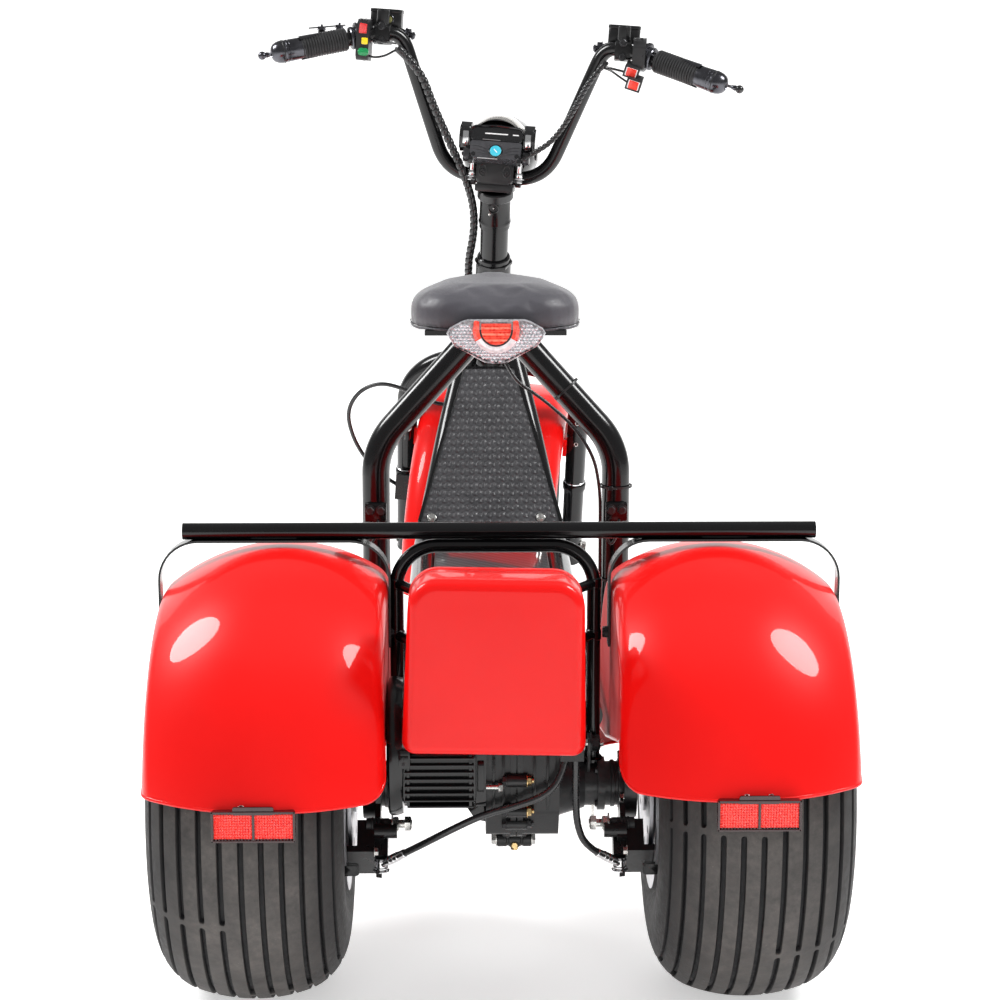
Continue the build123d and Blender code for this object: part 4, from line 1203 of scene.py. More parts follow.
# axle housing: kept from CAD, with flange bolts, clamp bolts and the guard plate
g = Geo()
for s in (-1, 1):
    for k in range(6):
        a = math.radians(60 * k + 12 * s)
        g_hex(g, (s * 134, 31 * math.cos(a), ZA + 31 * math.sin(a)), (-s, 0, 0), 4.8, 4.2, 0, 1.0, 0.4 * k)
    for k in range(4):
        a = math.radians(90 * k + 40)
        g_hex(g, (s * 106, 26.0 * math.cos(a), ZA + 26.0 * math.sin(a)), (-s, 0, 0), 3.6, 2.6, 1, 0.6, 0.4 * k)
    g_lathe(g, (s * 120, 0, ZA), (s, 0, 0), [(0, 23.9), (0.6, 25.6), (4.4, 25.6), (5, 23.9)], 56, 2)
    g_lathe(g, (s * 128, 0, ZA), (s, 0, 0), [(0, 23.9), (0.6, 26.6), (3.4, 27.4), (6, 30)], 56, 2)
# chrome bolt and its nut above the right tube
g_cyl(g, (86, -14, 278), (112, -14, 278), 4.0, 0, 20, 0.5)
g_hex(g, (92, -14, 278), (-1, 0, 0), 7.6, 6.0, 0, 1.4, 0.2)
g_hex(g, (98, -14, 278), (1, 0, 0), 8.6, 9.0, 1, 1.6, 0.2)
g_hex(g, (-92, -14, 278), (1, 0, 0), 7.0, 6.0, 1, 1.4, 0.2)
g_cyl(g, (-86, -14, 278), (-112, -14, 278), 4.0, 1, 20, 0.5)
# lug that carries the bolt, from the housing
for s in (-1, 1):
    g_prism(g, round_poly([(-24, 286), (-24, 268), (-14, 240), (6, 240), (11, 286)], 6), s * 95.0, s * 97.8, swap, 2, 0.6)
g_prism(g, round_poly([(-13, 230), (13, 230), (9, 196), (2, 184), (-6, 184), (-11, 196)], 3), 100, 102.8, swap, 0, 0.5)
g_socket(g, (102.8, 0, 214), (1, 0, 0), 3.4, 2.2, 0, 1)
piece("axle_hardware", g, ["steel", "steel_dark", "rough_cast"], "frame", sharp=30)

# foot flanges of the hoop legs
g = Geo()
for s in (-1, 1):
    x = -4.5 + s * 106
    g_lathe(g, (x, 2, 252.6), (0, 0, 1), [(0, 0), (0, 10.5), (1, 11.5), (4, 11.5), (5, 10.5), (6.5, 7.9), (9, 7.55)], 32, 0)
    g_hex(g, (x, -5.5, 271), (0, -1, 0), 4.6, 4.0, 1, 1.0, 0.3)
    for z in (395, 452):
        g_lathe(g, (x, 2, z - 6), (0, 0, 1), [(0, 7.4), (1.2, 8.3), (10.8, 8.3), (12, 7.4)], 32, 0)
    for q in range(18):
        a = 2 * PI * q / 18
        g_sphere(g, (x + 8.2 * math.cos(a), 2 + 8.2 * math.sin(a), 258.6), 1.4, 0, 8)
piece("hoop_feet", g, ["frame", "steel_dark"], "frame", sharp=35)

# ------------------------------------------------------------------ rear brakes
g = Geo()
for s in (-1, 1):
    c = Geo()
    # pad cover on the rear face, cast web and edges
    rot = Matrix.Translation((0, -75.5, 172)) @ Matrix.Rotation(math.radians(-42), 4, "X")
    g_prism(c, rrect(-9, 9, -9, 6, 3.4, 5), 0, 1, lambda u, v, w: tuple(Vector((158.5 + u, -94.6 - 2.4 * w, 166 + v * 0.9))), 0, 0.3)
    g_prism(c, rrect(-7.4, 7.4, -7.4, 4.4, 2.6, 5), 0, 1, lambda u, v, w: tuple(Vector((158.5 + u, -96.6 - 1.3 * w, 166 + v * 0.9))), 0, 0.3)
    # slide pin with its rubber boot
    g_lathe(c, (143, -62, 203.5), (-1, 0, 0), [(0, 0), (0, 6.4), (5, 6.4), (6, 7.2), (7.4, 7.2), (8.2, 6.1), (9.4, 7.2), (10.8, 7.2), (11.6, 6.1), (13, 7.2), (14.4, 7.2), (15.2, 6.1), (24, 6.1), (25, 5.2), (28, 5.2), (28, 0)], 36, 1)
    g_hex(c, (116, -62, 203.5), (-1, 0, 0), 8.2, 6.0, 3, 1.6, 0.2)
    g_cyl(c, (110, -62, 203.5), (94, -62, 203.5), 4.4, 3, 20, 0.5)
    g_hex(c, (102, -62, 203.5), (-1, 0, 0), 8.4, 7.0, 3, 0.0, 0.45)
    # bridge bolts
    for z, y in ((182, -88), (162, -66)):
        g_hex(c, (134, y, z), (-1, 0, 0), 4.4, 3.6, 3, 0.9, 0.2)
    # banjo: bolt, two washers and the eye, then the crimped ferrule
    g_cyl(c, (127, -75, 156), (127, -75, 170), 6.0, 2, 28, 0.6)
    g_cyl(c, (127, -75, 158.6), (127, -75, 160.0), 7.4, 2, 28, 0.3)
    g_cyl(c, (127, -75, 166.4), (127, -75, 167.8), 7.4, 2, 28, 0.3)
    g_hex(c, (127, -75, 156.6), (0, 0, -1), 6.8, 6.6, 2, 0.8, 0.1, 0.6)
    a, b = Vector((127, -75, 163)), Vector((103, -93, 181))
    d = (b - a).normalized()
    L = (b - a).length
    g_lathe(c, a, d, [(0, 0), (0, 5.2), (9, 4.4), (11, 4.4), (11.6, 5.0), (15, 5.0), (15.6, 4.5), (17, 4.5), (17.6, 5.1), (21, 5.1), (21.6, 4.5), (23, 4.5), (23.6, 5.1), (27, 5.1),
                      (27.8, 4.6), (L + 2, 4.5), (L + 2.6, 3.9), (L + 2.6, 0)], 32, 2)
    g.join(c if s > 0 else c.mirrored())
piece("brake_hardware", g, ["cast", "rubber", "chrome", "steel"], "frame", replaces=("hose_fittings",), sharp=30)

# ------------------------------------------------------------------ rim details
def rim_geo(web, out, cap_x):
    """About the wheel centre, +x outboard."""
    g = Geo()
    for k in range(5):
        a = math.radians(72 * k)
        y, z = 44 * math.cos(a), 44 * math.sin(a)
        g_lathe(g, (out, y, z), (1, 0, 0), [(0, 0), (0, 9.5), (1.6, 9.5), (2.2, 8.4), (2.2, 0)], 28, 0)
        g_hex(g, (out + 2.0, y, z), (1, 0, 0), 7.6, 8.0, 1, 0, 0.3, 1.2)
        g_lathe(g, (out, 65 * math.cos(a + 0.6283), 65 * math.sin(a + 0.6283)), (1, 0, 0), [(-0.3, 19.1), (0.9, 19.6), (1.0, 21.4), (-0.3, 22.2)], 40, 0, closed=True)
    g_lathe(g, (out, 0, 0), (1, 0, 0), [(-0.4, 96.6), (3.0, 98.4), (3.0, 99.6), (-0.4, 99.6)], 96, 0, closed=True)
    g_lathe(g, (out, 0, 0), (1, 0, 0), [(-0.3, 28), (1.6, 29), (1.6, 33), (-0.3, 34)], 64, 0, closed=True)
    # valve stem through the barrel
    a = math.radians(72 * 2 + 36)
    d = Vector((0.62, -0.78 * math.cos(a), -0.78 * math.sin(a)))
    p = Vector((out + 14, 96 * math.cos(a), 96 * math.sin(a)))
    g_cyl(g, p, p + d * 6, 4.6, 2, 20, 0.6)
    g_cyl(g, p + d * 6, p + d * 22, 2.6, 3, 20, 0.4)
    g_cyl(g, p + d * 22, p + d * 31, 3.3, 2, 20, 0.6)
    # hub cap with its nut
    g_lathe(g, (cap_x, 0, 0), (1, 0, 0), [(-0.5, 22.4), (0.6, 22.4), (1.2, 21.0), (1.2, 14), (2.6, 12.5), (2.6, 0)], 48, 0)
    g_hex(g, (cap_x + 2.4, 0, 0), (1, 0, 0), 10.5, 7.0, 1, 1.0, 0.2, 0.8)
    return g


for side, nm in ((-1, "left"), (1, "right")):
    g = rim_geo(32, 37, 60).moved(Matrix.Translation((258, 0, ZA)))
    if side < 0:
        g = g.mirrored()
    piece("rim_details_%s" % nm, g, ["alloy", "steel", "rubber", "brass"], "rear_wheel_%s" % nm, sharp=30)
g = rim_geo(0, 5, 30)
g = Geo().join(g)
keep = Geo()
gg = Geo()
for k in range(5):
    a = math.radians(72 * k)
    for s in (-1, 1):
        g_hex(gg, (s * 5, 44 * math.cos(a), 44 * math.sin(a)), (s, 0, 0), 7.0, 6.0, 1, 1.2, 0.3, 0.8)
for s in (-1, 1):
    g_lathe(gg, (s * 5, 0, 0), (s, 0, 0), [(-0.4, 96.6), (3.0, 98.4), (3.0, 99.6), (-0.4, 99.6)], 96, 0, closed=True)
    g_lathe(gg, (s * 112.4, 0, 0), (s, 0, 0), [(-4, 28.2), (-3.4, 29.6), (-1.2, 29.6), (-0.6, 28.2)], 48, 0, closed=True)
for k in range(6):
    a = math.radians(60 * k + 15)
    g_socket(gg, (-112.3, 24 * math.cos(a), 24 * math.sin(a)), (-1, 0, 0), 2.6, 0.0 + 0.6, 1, 2)
piece("rim_details_front", gg.moved(Matrix.Translation((0, 1300, 228.8))), ["alloy", "steel", "case"], "front_wheel", turn=True, sharp=30)


# ------------------------------------------------------------------ seat
SEAT_OUT = [(0, 287), (38, 288.5), (70, 296), (96, 322), (104, 372), (97, 418), (84, 460), (68, 506), (46, 552), (24, 585), (0, 596),
            (-24, 585), (-46, 552), (-68, 506), (-84, 460), (-97, 418), (-104, 372), (-96, 322), (-70, 296), (-38, 288.5)]


def seat_geo(shrink=0.0, top=742.0, low=690.0):
    g = Geo()
    out = smooth_path([(x, y, 0) for x, y in SEAT_OUT], 5.0, closed=True)
    n = len(out)
    cen = Vector((0, 425, 0))
    nrm = []
    for i in range(n):
        t = (out[(i + 1) % n] - out[i - 1]).normalized()
        v = Vector((t.y, -t.x, 0))
        if v.dot(out[i] - cen) < 0:
            v = -v
        nrm.append(v)
    prof = [(9, low + 1.0), (3.0, low + 0.0), (1.2, low + 1.6), (0.4, low + 5), (0.0, low + 11), (0.0, low + 18), (0.8, low + 26), (3.0, low + 33),
            (7.5, low + 39), (14.5, low + 44), (25.0, low + 47.8), (39.0, low + 50.3), (57.0, low + 51.6)]
    rings = []
    for ins, z in prof:
        lp = []
        for i in range(n):
            p = out[i] - nrm[i] * (ins + shrink)
            rear = sstep((p.y - 380) / 200)
            zz = low + (z - low) * (top - low) / 52.0
            zz = zz - rear * 4.0 * sstep((ins) / 10)
            lp.append(Vector((p.x, p.y, zz)))
        rings.append(lp)
    last = rings[-1]
    for q in (0.66, 0.33):
        rings.append([Vector((p.x * q, cen.y + (p.y - cen.y) * q, p.z - (1 - q) * 1.8)) for p in last])
    vs = [p for lp in rings for p in lp]
    fs = []
    for i in range(len(rings) - 1):
        for k in range(n):
            fs.append((i * n + k, i * n + (k + 1) % n, (i + 1) * n + (k + 1) % n, (i + 1) * n + k))
    vs.append(Vector((0, 425, last[0].z - 2.4)))
    vs.append(Vector((0, 425, low + 1.5)))
    for k in range(n):
        fs.append(((len(rings) - 1) * n + k, (len(rings) - 1) * n + (k + 1) % n, len(vs) - 2))
        fs.append((k, (k + 1) % n, len(vs) - 1))
    g.add(vs, fs, 0)
    return g, out, nrm


g, seat_line, seat_nrm = seat_geo(1.6, 739.5, 691.0)
seat = piece("seat_cushion", g, ["seat"], "frame", replaces=("seat",), sharp=180)


def inflate(o, cap, voxel=0.0055, pressure=4.0, frames=20):
    """Cloth pressure on a copy, its movement capped, and the result kept in the mesh."""
    md = o.modifiers.new("remesh", "REMESH")
    md.mode, md.voxel_size = "VOXEL", voxel
    md.use_smooth_shade = True
    apply_mods(o)
    rest = np.empty(len(o.data.vertices) * 3)
    o.data.vertices.foreach_get("co", rest)
    rest = rest.reshape(-1, 3)
    moved = None
    vg = o.vertex_groups.new(name="pin")
    low = rest[:, 2].min()
    idx = [int(i) for i in np.nonzero(rest[:, 2] < low + 0.004)[0]]
    vg.add(idx, 1.0, "REPLACE")
    cl = o.modifiers.new("cloth", "CLOTH")
    cl.settings.vertex_group_mass = "pin"
    cl.settings.use_pressure = True
    cl.settings.uniform_pressure_force = pressure
    cl.settings.effector_weights.gravity = 0
    cl.settings.quality = 5
    cl.settings.tension_stiffness = 15
    cl.settings.bending_stiffness = 0.6
    cl.point_cache.frame_start, cl.point_cache.frame_end = 1, frames
    sc = bpy.context.scene
    for f in range(1, frames + 1):
        sc.frame_set(f)
    dg = bpy.context.evaluated_depsgraph_get()
    ev = o.evaluated_get(dg).to_mesh()
    moved = np.empty(len(ev.vertices) * 3)
    ev.vertices.foreach_get("co", moved)
    moved = moved.reshape(-1, 3)
    o.evaluated_get(dg).to_mesh_clear()
    o.modifiers.clear()
    o.vertex_groups.clear()
    sc.frame_set(1)
    d = moved - rest
    ln = np.linalg.norm(d, axis=1, keepdims=True)
    d = d * np.minimum(1.0, cap / np.maximum(ln, 1e-9))
    moved = rest + d
    o.data.vertices.foreach_set("co", moved.reshape(-1))
    o.data.update()


inflate(seat, 0.0035)
V = np.empty(len(seat.data.vertices) * 3)
seat.data.vertices.foreach_get("co", V)
V = V.reshape(-1, 3)
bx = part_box("seat")
# soft folds near the lower hem, as a stapled cover has
top_z = bx[1][2]
lo_z = bx[0][2]
ang = np.arctan2(V[:, 1] - (425 - Y_SHIFT) / 1000, V[:, 0])
hz = np.clip(1 - (V[:, 2] - lo_z) / 0.012, 0, 1)
ripple = (np.sin(ang * 23) * 0.5 + np.sin(ang * 37 + 1.3) * 0.3 + np.sin(ang * 61 + 0.4) * 0.2)
V[:, 2] += hz * ripple * 0.0008
rad = np.stack([V[:, 0], V[:, 1] - (425 - Y_SHIFT) / 1000], 1)
rad /= np.maximum(np.linalg.norm(rad, axis=1, keepdims=True), 1e-6)
V[:, :2] += rad * (hz * ripple * 0.0009)[:, None]
V[:, 2] = np.clip(V[:, 2], lo_z - 0.0005, top_z)
seat.data.vertices.foreach_set("co", V.reshape(-1))
seat.data.update()
md = seat.modifiers.new("sub", "SUBSURF")
md.levels = md.render_levels = 1
apply_mods(seat)
seat.data.polygons.foreach_set("use_smooth", np.ones(len(seat.data.polygons), dtype=bool))
seat.data.materials.clear()
seat.data.materials.append(M["seat"])

# hem welt and its stitches round the lower edge
g = Geo()
n = len(seat_line)
path = []
for i in range(n):
    a = math.atan2(seat_line[i].y - 425, seat_line[i].x)
    rp = math.sin(a * 23) * 0.5 + math.sin(a * 37 + 1.3) * 0.3 + math.sin(a * 61 + 0.4) * 0.2
    path.append(seat_line[i] - seat_nrm[i] * (3.4 - 0.9 * rp) + Vector((0, 0, 691.4 + 0.7 * rp)))
g_tube(g, path, 1.4, 0, 8, closed=True)
st = 0
fine = smooth_path(path, 2.0, closed=True)
for i in range(0, len(fine) - 2, 3):
    p, q = fine[i], fine[i + 2]
    mid = (p + q) / 2
    v = Vector((mid.x, mid.y - 425, 0)).normalized()
    g_tube(g, [p + v * 1.2 + Vector((0, 0, 3.4)), mid + v * 1.7 + Vector((0, 0, 3.7)), q + v * 1.2 + Vector((0, 0, 3.4))], 0.42, 1, 5)
piece("seat_hem", g, ["seat", "thread"], "frame", sharp=60)

# ------------------------------------------------------------------ tail light
TL = [(-33, 0), (33, 0), (40, -2), (54.5, -10), (58, -16), (55, -22), (48, -32), (14, -50.4), (8, -52), (-8, -52), (-14, -50.4), (-48, -32), (-55, -22), (-58, -16), (-54.5, -10), (-40, -2)]


def tl_in(x, z, inset=0.0):
    """Inside the lamp outline drawn in by inset."""
    poly = offset_poly(TL, -inset) if inset else TL
    c, j = False, len(poly) - 1
    for i in range(len(poly)):
        (x0, z0), (x1, z1) = poly[i], poly[j]
        if (z0 > z) != (z1 > z) and x < (x1 - x0) * (z - z0) / (z1 - z0) + x0:
            c = not c
        j = i
    return c


def tl(u, v, w):
    """Lamp face coordinates: u across, v up from the top edge, w towards the rear."""
    return (u, 281 - w, 707 + v)


g = Geo()
g_prism(g, offset_poly(TL, -1.0), 0, 13, tl, 0, 0.5)
g_prism(g, TL, 12.2, 17.0, tl, 1, 1.0)
g_prism(g, offset_poly(TL, -2.2), 16.5, 19.0, tl, 1, 1.2)
# rim of the lens
lip = offset_poly(TL, -1.6)
g_tube(g, [tl(u, v, 18.4) for u, v in lip + [lip[0]]], 1.1, 1, 8)
# honeycomb of the two wings
pit = 4.3
inner = offset_poly(TL, -4.0)
row = 0
z = -3.5
cells = []
while z > -50:
    x = -56 + (pit / 2 if row % 2 else 0)
    while x < 57:
        if tl_in(x, z, 3.6) and math.hypot(x, z + 6) > 29.2 + (0 if z < -6 else 0) and abs(x) > (29.0 if z > -8 else 0):
            cells.append((x, z))
        x += pit
    z -= pit * 0.866
    row += 1
for x, z in cells:
    p = Vector(tl(x, z, 19.0))
    g_lathe(g, p, (0, -1, 0), [(-0.4, 2.45), (0.2, 2.25), (1.0, 1.1), (1.15, 0)], 6, 2, phase=PI / 6)


def arc_strip(r0, r1, a0, a1, w0, w1, cz, mat, n=28, ridge=0.0):
    vs, fs = [], []
    for k in range(n + 1):
        a = a0 + (a1 - a0) * k / n
        c, s = math.cos(a), math.sin(a)
        for r, w in ((r0, w0), (r0, w1), ((r0 + r1) / 2, w1 + ridge), (r1, w1), (r1, w0)):
            vs.append(tl(r * c, cz + r * s, w))
    for k in range(n):
        for q in range(5):
            q2 = (q + 1) % 5
            fs.append((k * 5 + q, k * 5 + q2, (k + 1) * 5 + q2, (k + 1) * 5 + q))
    fs.append((0, 1, 2, 3, 4))
    fs.append(tuple(n * 5 + q for q in range(5))[::-1])
    g.add(vs, fs, mat)


# horseshoe light guide: clear below, red at its two ends
cz = -12.0
arc_strip(19.6, 27.4, PI * 1.16, PI * 1.84, 18.5, 21.4, cz, 3, 36, 1.6)
arc_strip(19.6, 27.4, PI * 1.0, PI * 1.16, 18.5, 21.4, cz, 4, 12, 1.6)
arc_strip(19.6, 27.4, PI * 1.84, PI * 2.0, 18.5, 21.4, cz, 4, 12, 1.6)
for s in (-1, 1):
    a, b = sorted((s * 19.6, s * 27.4))
    g_prism(g, [(a, cz - 0.2), (b, cz - 0.2), (b - (1.5 if s > 0 else 0), -1.6), (a + (1.5 if s < 0 else 0), -1.6)], 18.5, 22.2, tl, 4, 1.0)
    # facets of the red ends
    for k in range(5):
        z0 = -2.6 - 2.1 * k
        g_lathe(g, tl(s * 23.5, z0, 21.6), (0, -1, 0), [(0, 2.3), (1.1, 0)], 4, 4, phase=PI / 4)
# dark groove between the horseshoe and the red lens
arc_strip(17.6, 19.4, PI, PI * 2, 18.2, 19.6, cz, 5, 40, 0.0)
# the ribbed red lens, a half moon with its flat edge up
ribs = 7
for k in range(ribs):
    zc = -4.4 - (27.4 - 2) * (k + 0.5) / ribs
    hh = (27.4 - 2) / ribs / 2
    n = 14
    vs, fs = [], []
    for q in range(n + 1):
        zz = zc - hh + 2 * hh * q / n
        rr = 17.4 ** 2 - min(0, zz - cz) ** 2
        hw = math.sqrt(max(rr, 1.0))
        if zz > cz:
            hw = 17.4
        bulge = math.cos((q / n - 0.5) * PI)
        for p in range(13):
            u = -hw + 2 * hw * p / 12
            dome = 1.6 * (1 - (u / 20.0) ** 2)
            vs.append(tl(u, zz, 19.3 + 1.9 * bulge + dome))
    for q in range(n):
        for p in range(12):
            fs.append((q * 13 + p, q * 13 + p + 1, (q + 1) * 13 + p + 1, (q + 1) * 13 + p))
    g.add(vs, fs, 6 if k % 2 else 4)
g_prism(g, [(-17.4, cz), (-17.4, -4.4), (17.4, -4.4), (17.4, cz)] + [(17.4 * math.cos(a), cz - 17.4 * math.sin(a)) for a in np.linspace(0.15, PI - 0.15, 16)], 18.0, 20.0, tl, 4)
g_prism(g, [(-27.5, -2.6), (27.5, -2.6), (27.5, -0.8), (-27.5, -0.8)], 18, 21.2, tl, 1, 0.5)
# slotted lower rim
for s in (-1, 1):
    for k in range(6):
        q = (k + 0.6) / 6.4
        x, z = s * (9 + 37 * q), -50.6 + 17.6 * q
        a = math.atan2(17.6, 37) * s
        g_box(g, (-2.6, -0.9, -0.7), (2.6, 0.6, 0.7), 5, 0.2, 1,
              Matrix.Translation(tl(x, z + 1.4, 18.6)) @ Matrix.Rotation(-a, 4, "Y"))
g_box(g, (-2.0, 261.0, 656.2), (2.0, 264.0, 659.2), 5, 0.3, 1)
# gasket and the mounting studs behind
g_prism(g, offset_poly(TL, 0.0), 10.6, 12.4, tl, 5, 0.3)
for s in (-1, 1):
    g_cyl(g, (s * 14, 281, 690), (s * 14, 286, 690), 4, 5, 16)
piece("tail_lamp", g, ["lamp_back", "lens", "lens_cell", "lens_white", "lens_red", "case", "lens_orange"], "frame", replaces=("tail_light",), sharp=25)

# ------------------------------------------------------------------ front panel with embossed cells, footboard
PL = math.hypot(136, 211)
pdir = math.atan2(211, 136)
PN = Vector((0, -math.sin(pdir), math.cos(pdir)))
PU = Vector((0, math.cos(pdir), math.sin(pdir)))
PO = Vector((0, 903, 338))


def panel_pt(u, v, w):
    return PO + Vector((u, 0, 0)) + PU * v + PN * w


def emboss(u, v):
    """Tumbling hexagon facets, 13 mm across."""
    s = 13.4
    best = None
    for k in (0, 1):
        cx = (math.floor(u / s) + 0.5) * s if k == 0 else round(u / s) * s
        row_h = s * math.sqrt(3)
        cy = round(v / row_h) * row_h if k == 0 else (math.floor(v / row_h) + 0.5) * row_h
        dx, dy = u - cx, v - cy
        d = dx * dx + dy * dy
        if best is None or d < best[0]:
            best = (d, dx, dy)
    d, dx, dy = best
    a = math.atan2(dy, dx) + 0.35
    sec = int(((a + PI) / (2 * PI / 3))) % 3
    m = [0.9, 0.25, -0.5][sec]
    r = math.sqrt(d) / (s * 0.55)
    edge = sstep((1.0 - r) * 2.4)
    ca, sa = math.cos(sec * 2 * PI / 3 - PI + PI / 3 - 0.35), math.sin(sec * 2 * PI / 3 - PI + PI / 3 - 0.35)
    slope = (dx * ca + dy * sa) / (s * 0.5)
    return (0.55 * m + 0.75 * slope) * edge


g = Geo()
NU, NV = 150, 190


def hw(v):
    return 106 - 65 * v / PL


def pfn(i, j):
    v = PL * j / NV
    u = (-1 + 2 * i / NU) * (hw(v) - 2.0)
    e = emboss(u, v)
    fade = min(1.0, (hw(v) - 2.0 - abs(u)) / 4.0)
    return panel_pt(u, v, 3.0 + 1.5 * e * max(0, fade))


g_grid(g, pfn, NU, NV, 0)
g_prism(g, [(-106, 0), (106, 0), (41, PL), (-41, PL)], 0, 2.6, lambda u, v, w: tuple(panel_pt(u, v, w)), 1, 0.4)
for s in (-1, 1):
    g_prism(g, [(s * 106, 0), (s * 101.5, 0), (s * 36.5, PL), (s * 41, PL)], 0.3, 5.2, lambda u, v, w: tuple(panel_pt(u, v, w)), 2, 0.9)
    g_tube(g, [panel_pt(s * (hw(v) - 0.2), v, 5.0) for v in np.linspace(0.5, PL - 0.5, 30)], 0.9, 2, 8)
    g_cyl(g, panel_pt(s * 80 - 6, 5.5, 2.6), panel_pt(s * 80 - 6, 5.5, 4.6), 7.5, 2, 24, 0.5)
    g_hex(g, panel_pt(s * 80 - 6, 5.5, 4.4), PN, 5.0, 3.6, 3, 1.0, 0.3, 0.5)
g_prism(g, [(-41, PL - 3), (41, PL - 3), (41, PL), (-41, PL)], 0.3, 5.0, lambda u, v, w: tuple(panel_pt(u, v, w)), 2, 0.8)
piece("leg_panel", g, ["emboss", "case", "frame", "steel"], "frame", replaces=("front_panel",), sharp=22)

g = Geo()
FB = [(-80, 312), (80, 312), (80, 850), (69, 900), (-69, 900), (-80, 850)]
g_prism(g, FB, 308, 313.2, lambda u, v, w: (u, v, w), 0, 0.6)
for s in (-1, 1):
    g_tube(g, [(s * 79, y, 312.6) for y in np.linspace(314, 848, 12)], 1.3, 1, 8)
    for y in (340, 500, 660, 820):
        g_lathe(g, (s * 70, y, 313.0), (0, 0, 1), [(0, 0), (0, 5.2), (0.7, 4.8), (1.0, 2.0), (0.4, 1.8), (0.4, 0)], 24, 2)
g_tube(g, [(x, 313, 312.4) for x in np.linspace(-79, 79, 8)], 1.4, 1, 8)
piece("foot_deck", g, ["carbon", "case", "steel"], "frame", replaces=("footboard",), sharp=30)

# battery case: kept from CAD, with a lid line, handle and catches
g = Geo()
g_prism(g, rrect(-77.6, 77.6, 176, 306, 10, 5), 570, 573.5, lambda u, v, w: (u, w, v), 0, 0.8)
g_prism(g, rrect(-78.4, 78.4, 175.4, 306, 10.5, 5), 338, 343, lambda u, v, w: (u, w, v), 0, 0.9)
g_prism(g, rrect(-78.4, 78.4, 175.4, 306, 10.5, 5), 812, 817, lambda u, v, w: (u, w, v), 0, 0.9)
for x in (-48, 48):
    g_box(g, (x - 12, 326.4, 214), (x + 12, 331, 246), 0, 1.4)
    g_socket(g, (x, 326.6, 230), (0, -1, 0), 5, 2.6, 1, 0)
g_tube(g, smooth_path([(-30, 329, 262), (-30, 318, 266), (-18, 315, 268), (18, 315, 268), (30, 318, 266), (30, 329, 262)], 3), 4.2, 0, 12)
for s in (-1, 1):
    for k in range(9):
        g_box(g, (s * 76.4, 370 + 48 * k, 196), (s * 78.2, 384 + 48 * k, 286), 0, 0.6)
piece("battery_details", g, ["case", "steel_dark"], "frame", sharp=30)

# ------------------------------------------------------------------ clips, zip ties and lugs on the frame
def zip_tie(g, c, axis, r, rot=0.0, mat=0, tail=12.0):
    a, u, v = frame_of(axis)
    c = Vector(c)
    pts, nn = [], 26
    g_lathe(g, c - a * 1.3, a, [(0, r + 0.1), (0, r + 1.3), (2.6, r + 1.3), (2.6, r + 0.1)], 32, mat, closed=True)
    d = u * math.cos(rot) + v * math.sin(rot)
    w = a.cross(d)
    m4 = Matrix((( w.x, d.x, a.x, 0), (w.y, d.y, a.y, 0), (w.z, d.z, a.z, 0), (0, 0, 0, 1)))
    m4 = Matrix.Translation(c + d * (r + 2.2)) @ m4
    g_box(g, (-2.6, -1.7, -2.3), (2.6, 1.9, 2.3), mat, 0.5, 1, m4)
    p = c + d * (r + 2.6) + w * 2
    g_tube(g, smooth_path([p, p + w * tail * 0.5 + d * 1.5, p + w * tail + d * (tail * 0.35)], 2), 0.9, mat, 6)


g = Geo()
t1 = (Vector((24, 303, 684)) - Vector((143, 290, 553))).normalized()
zip_tie(g, Vector((143, 290, 553)) - Vector((0, 0, 0)) + t1 * 92 + Vector((2, -1, 0)), t1, 17.0, 2.4, 0, 10)
zip_tie(g, (143, 290, 505), (0, 0, 1), 18.6, 2.8, 0, 6)
zip_tie(g, (143, 290, 392), (0, 0, 1), 18.6, 2.8, 0, 6)
for s in (-1, 1):
    x = s * 143
    g_box(g, (x - 13, 268, 466), (x + 13, 276, 488), 1, 1.2)
    for dx in (-6.5, 6.5):
        g_hex(g, (x + dx, 268, 480), (0, -1, 0), 4.6, 4.0, 2, 0.9, 0.2)
    g_tube(g, smooth_path([(x - 9, 272, 470), (x - 12, 262, 452), (x - 7, 260, 440), (x, 262, 450), (x + 3, 268, 468)], 3), 1.6, 2, 8)
    # gusset between the seat tube and the rail
    g_prism(g, [(s * 96, 317), (s * 143, 317), (s * 143, 352), (s * 128, 330), (s * 110, 321)], 286, 294, lambda u, v, w: (u, w, v), 1, 0.8)
piece("frame_clips", g, ["case", "frame", "case"], "frame", sharp=35)


# ------------------------------------------------------------------ steering head: clamp, screws, sleeve (all turned with the steering)
def sf(x, e, s):
    return Vector(ax(x, e, s))


SE = Vector((0, math.cos(RAKE), math.sin(RAKE)))      # away from the axis, forward
S45 = SDIR

g = Geo()
# sleeve over the steering tube with a slotted lower lip and its recessed screw
g_lathe(g, sf(0, 0, 185), SDIR, [(0, 20.6), (0, 23.6), (1.2, 24.6), (6.5, 24.6), (8, 23.4), (8, 20.6)], 64, 0, closed=True)
g_lathe(g, sf(0, 0, 249), SDIR, [(0, 20.4), (0.0, 22.0), (1.0, 23.4), (3.2, 23.9), (6, 23.4), (8, 22.6), (43, 22.6), (44, 22.0), (44, 20.4)], 64, 0, closed=True)
rc = sf(0, -22.2, 284)
back = -SE
g_lathe(g, rc, back, [(0.0, 8.6), (1.4, 8.4), (2.0, 7.6), (1.6, 6.6), (0.2, 6.4)], 36, 0, closed=True)
g_lathe(g, rc, back, [(-0.6, 6.4), (0.5, 6.0), (0.8, 5.4), (0.8, 3.0), (-0.6, 2.7), (-0.6, 0)], 32, 1)
g_sphere(g, rc + back * 0.4, 1.5, 2, 12)
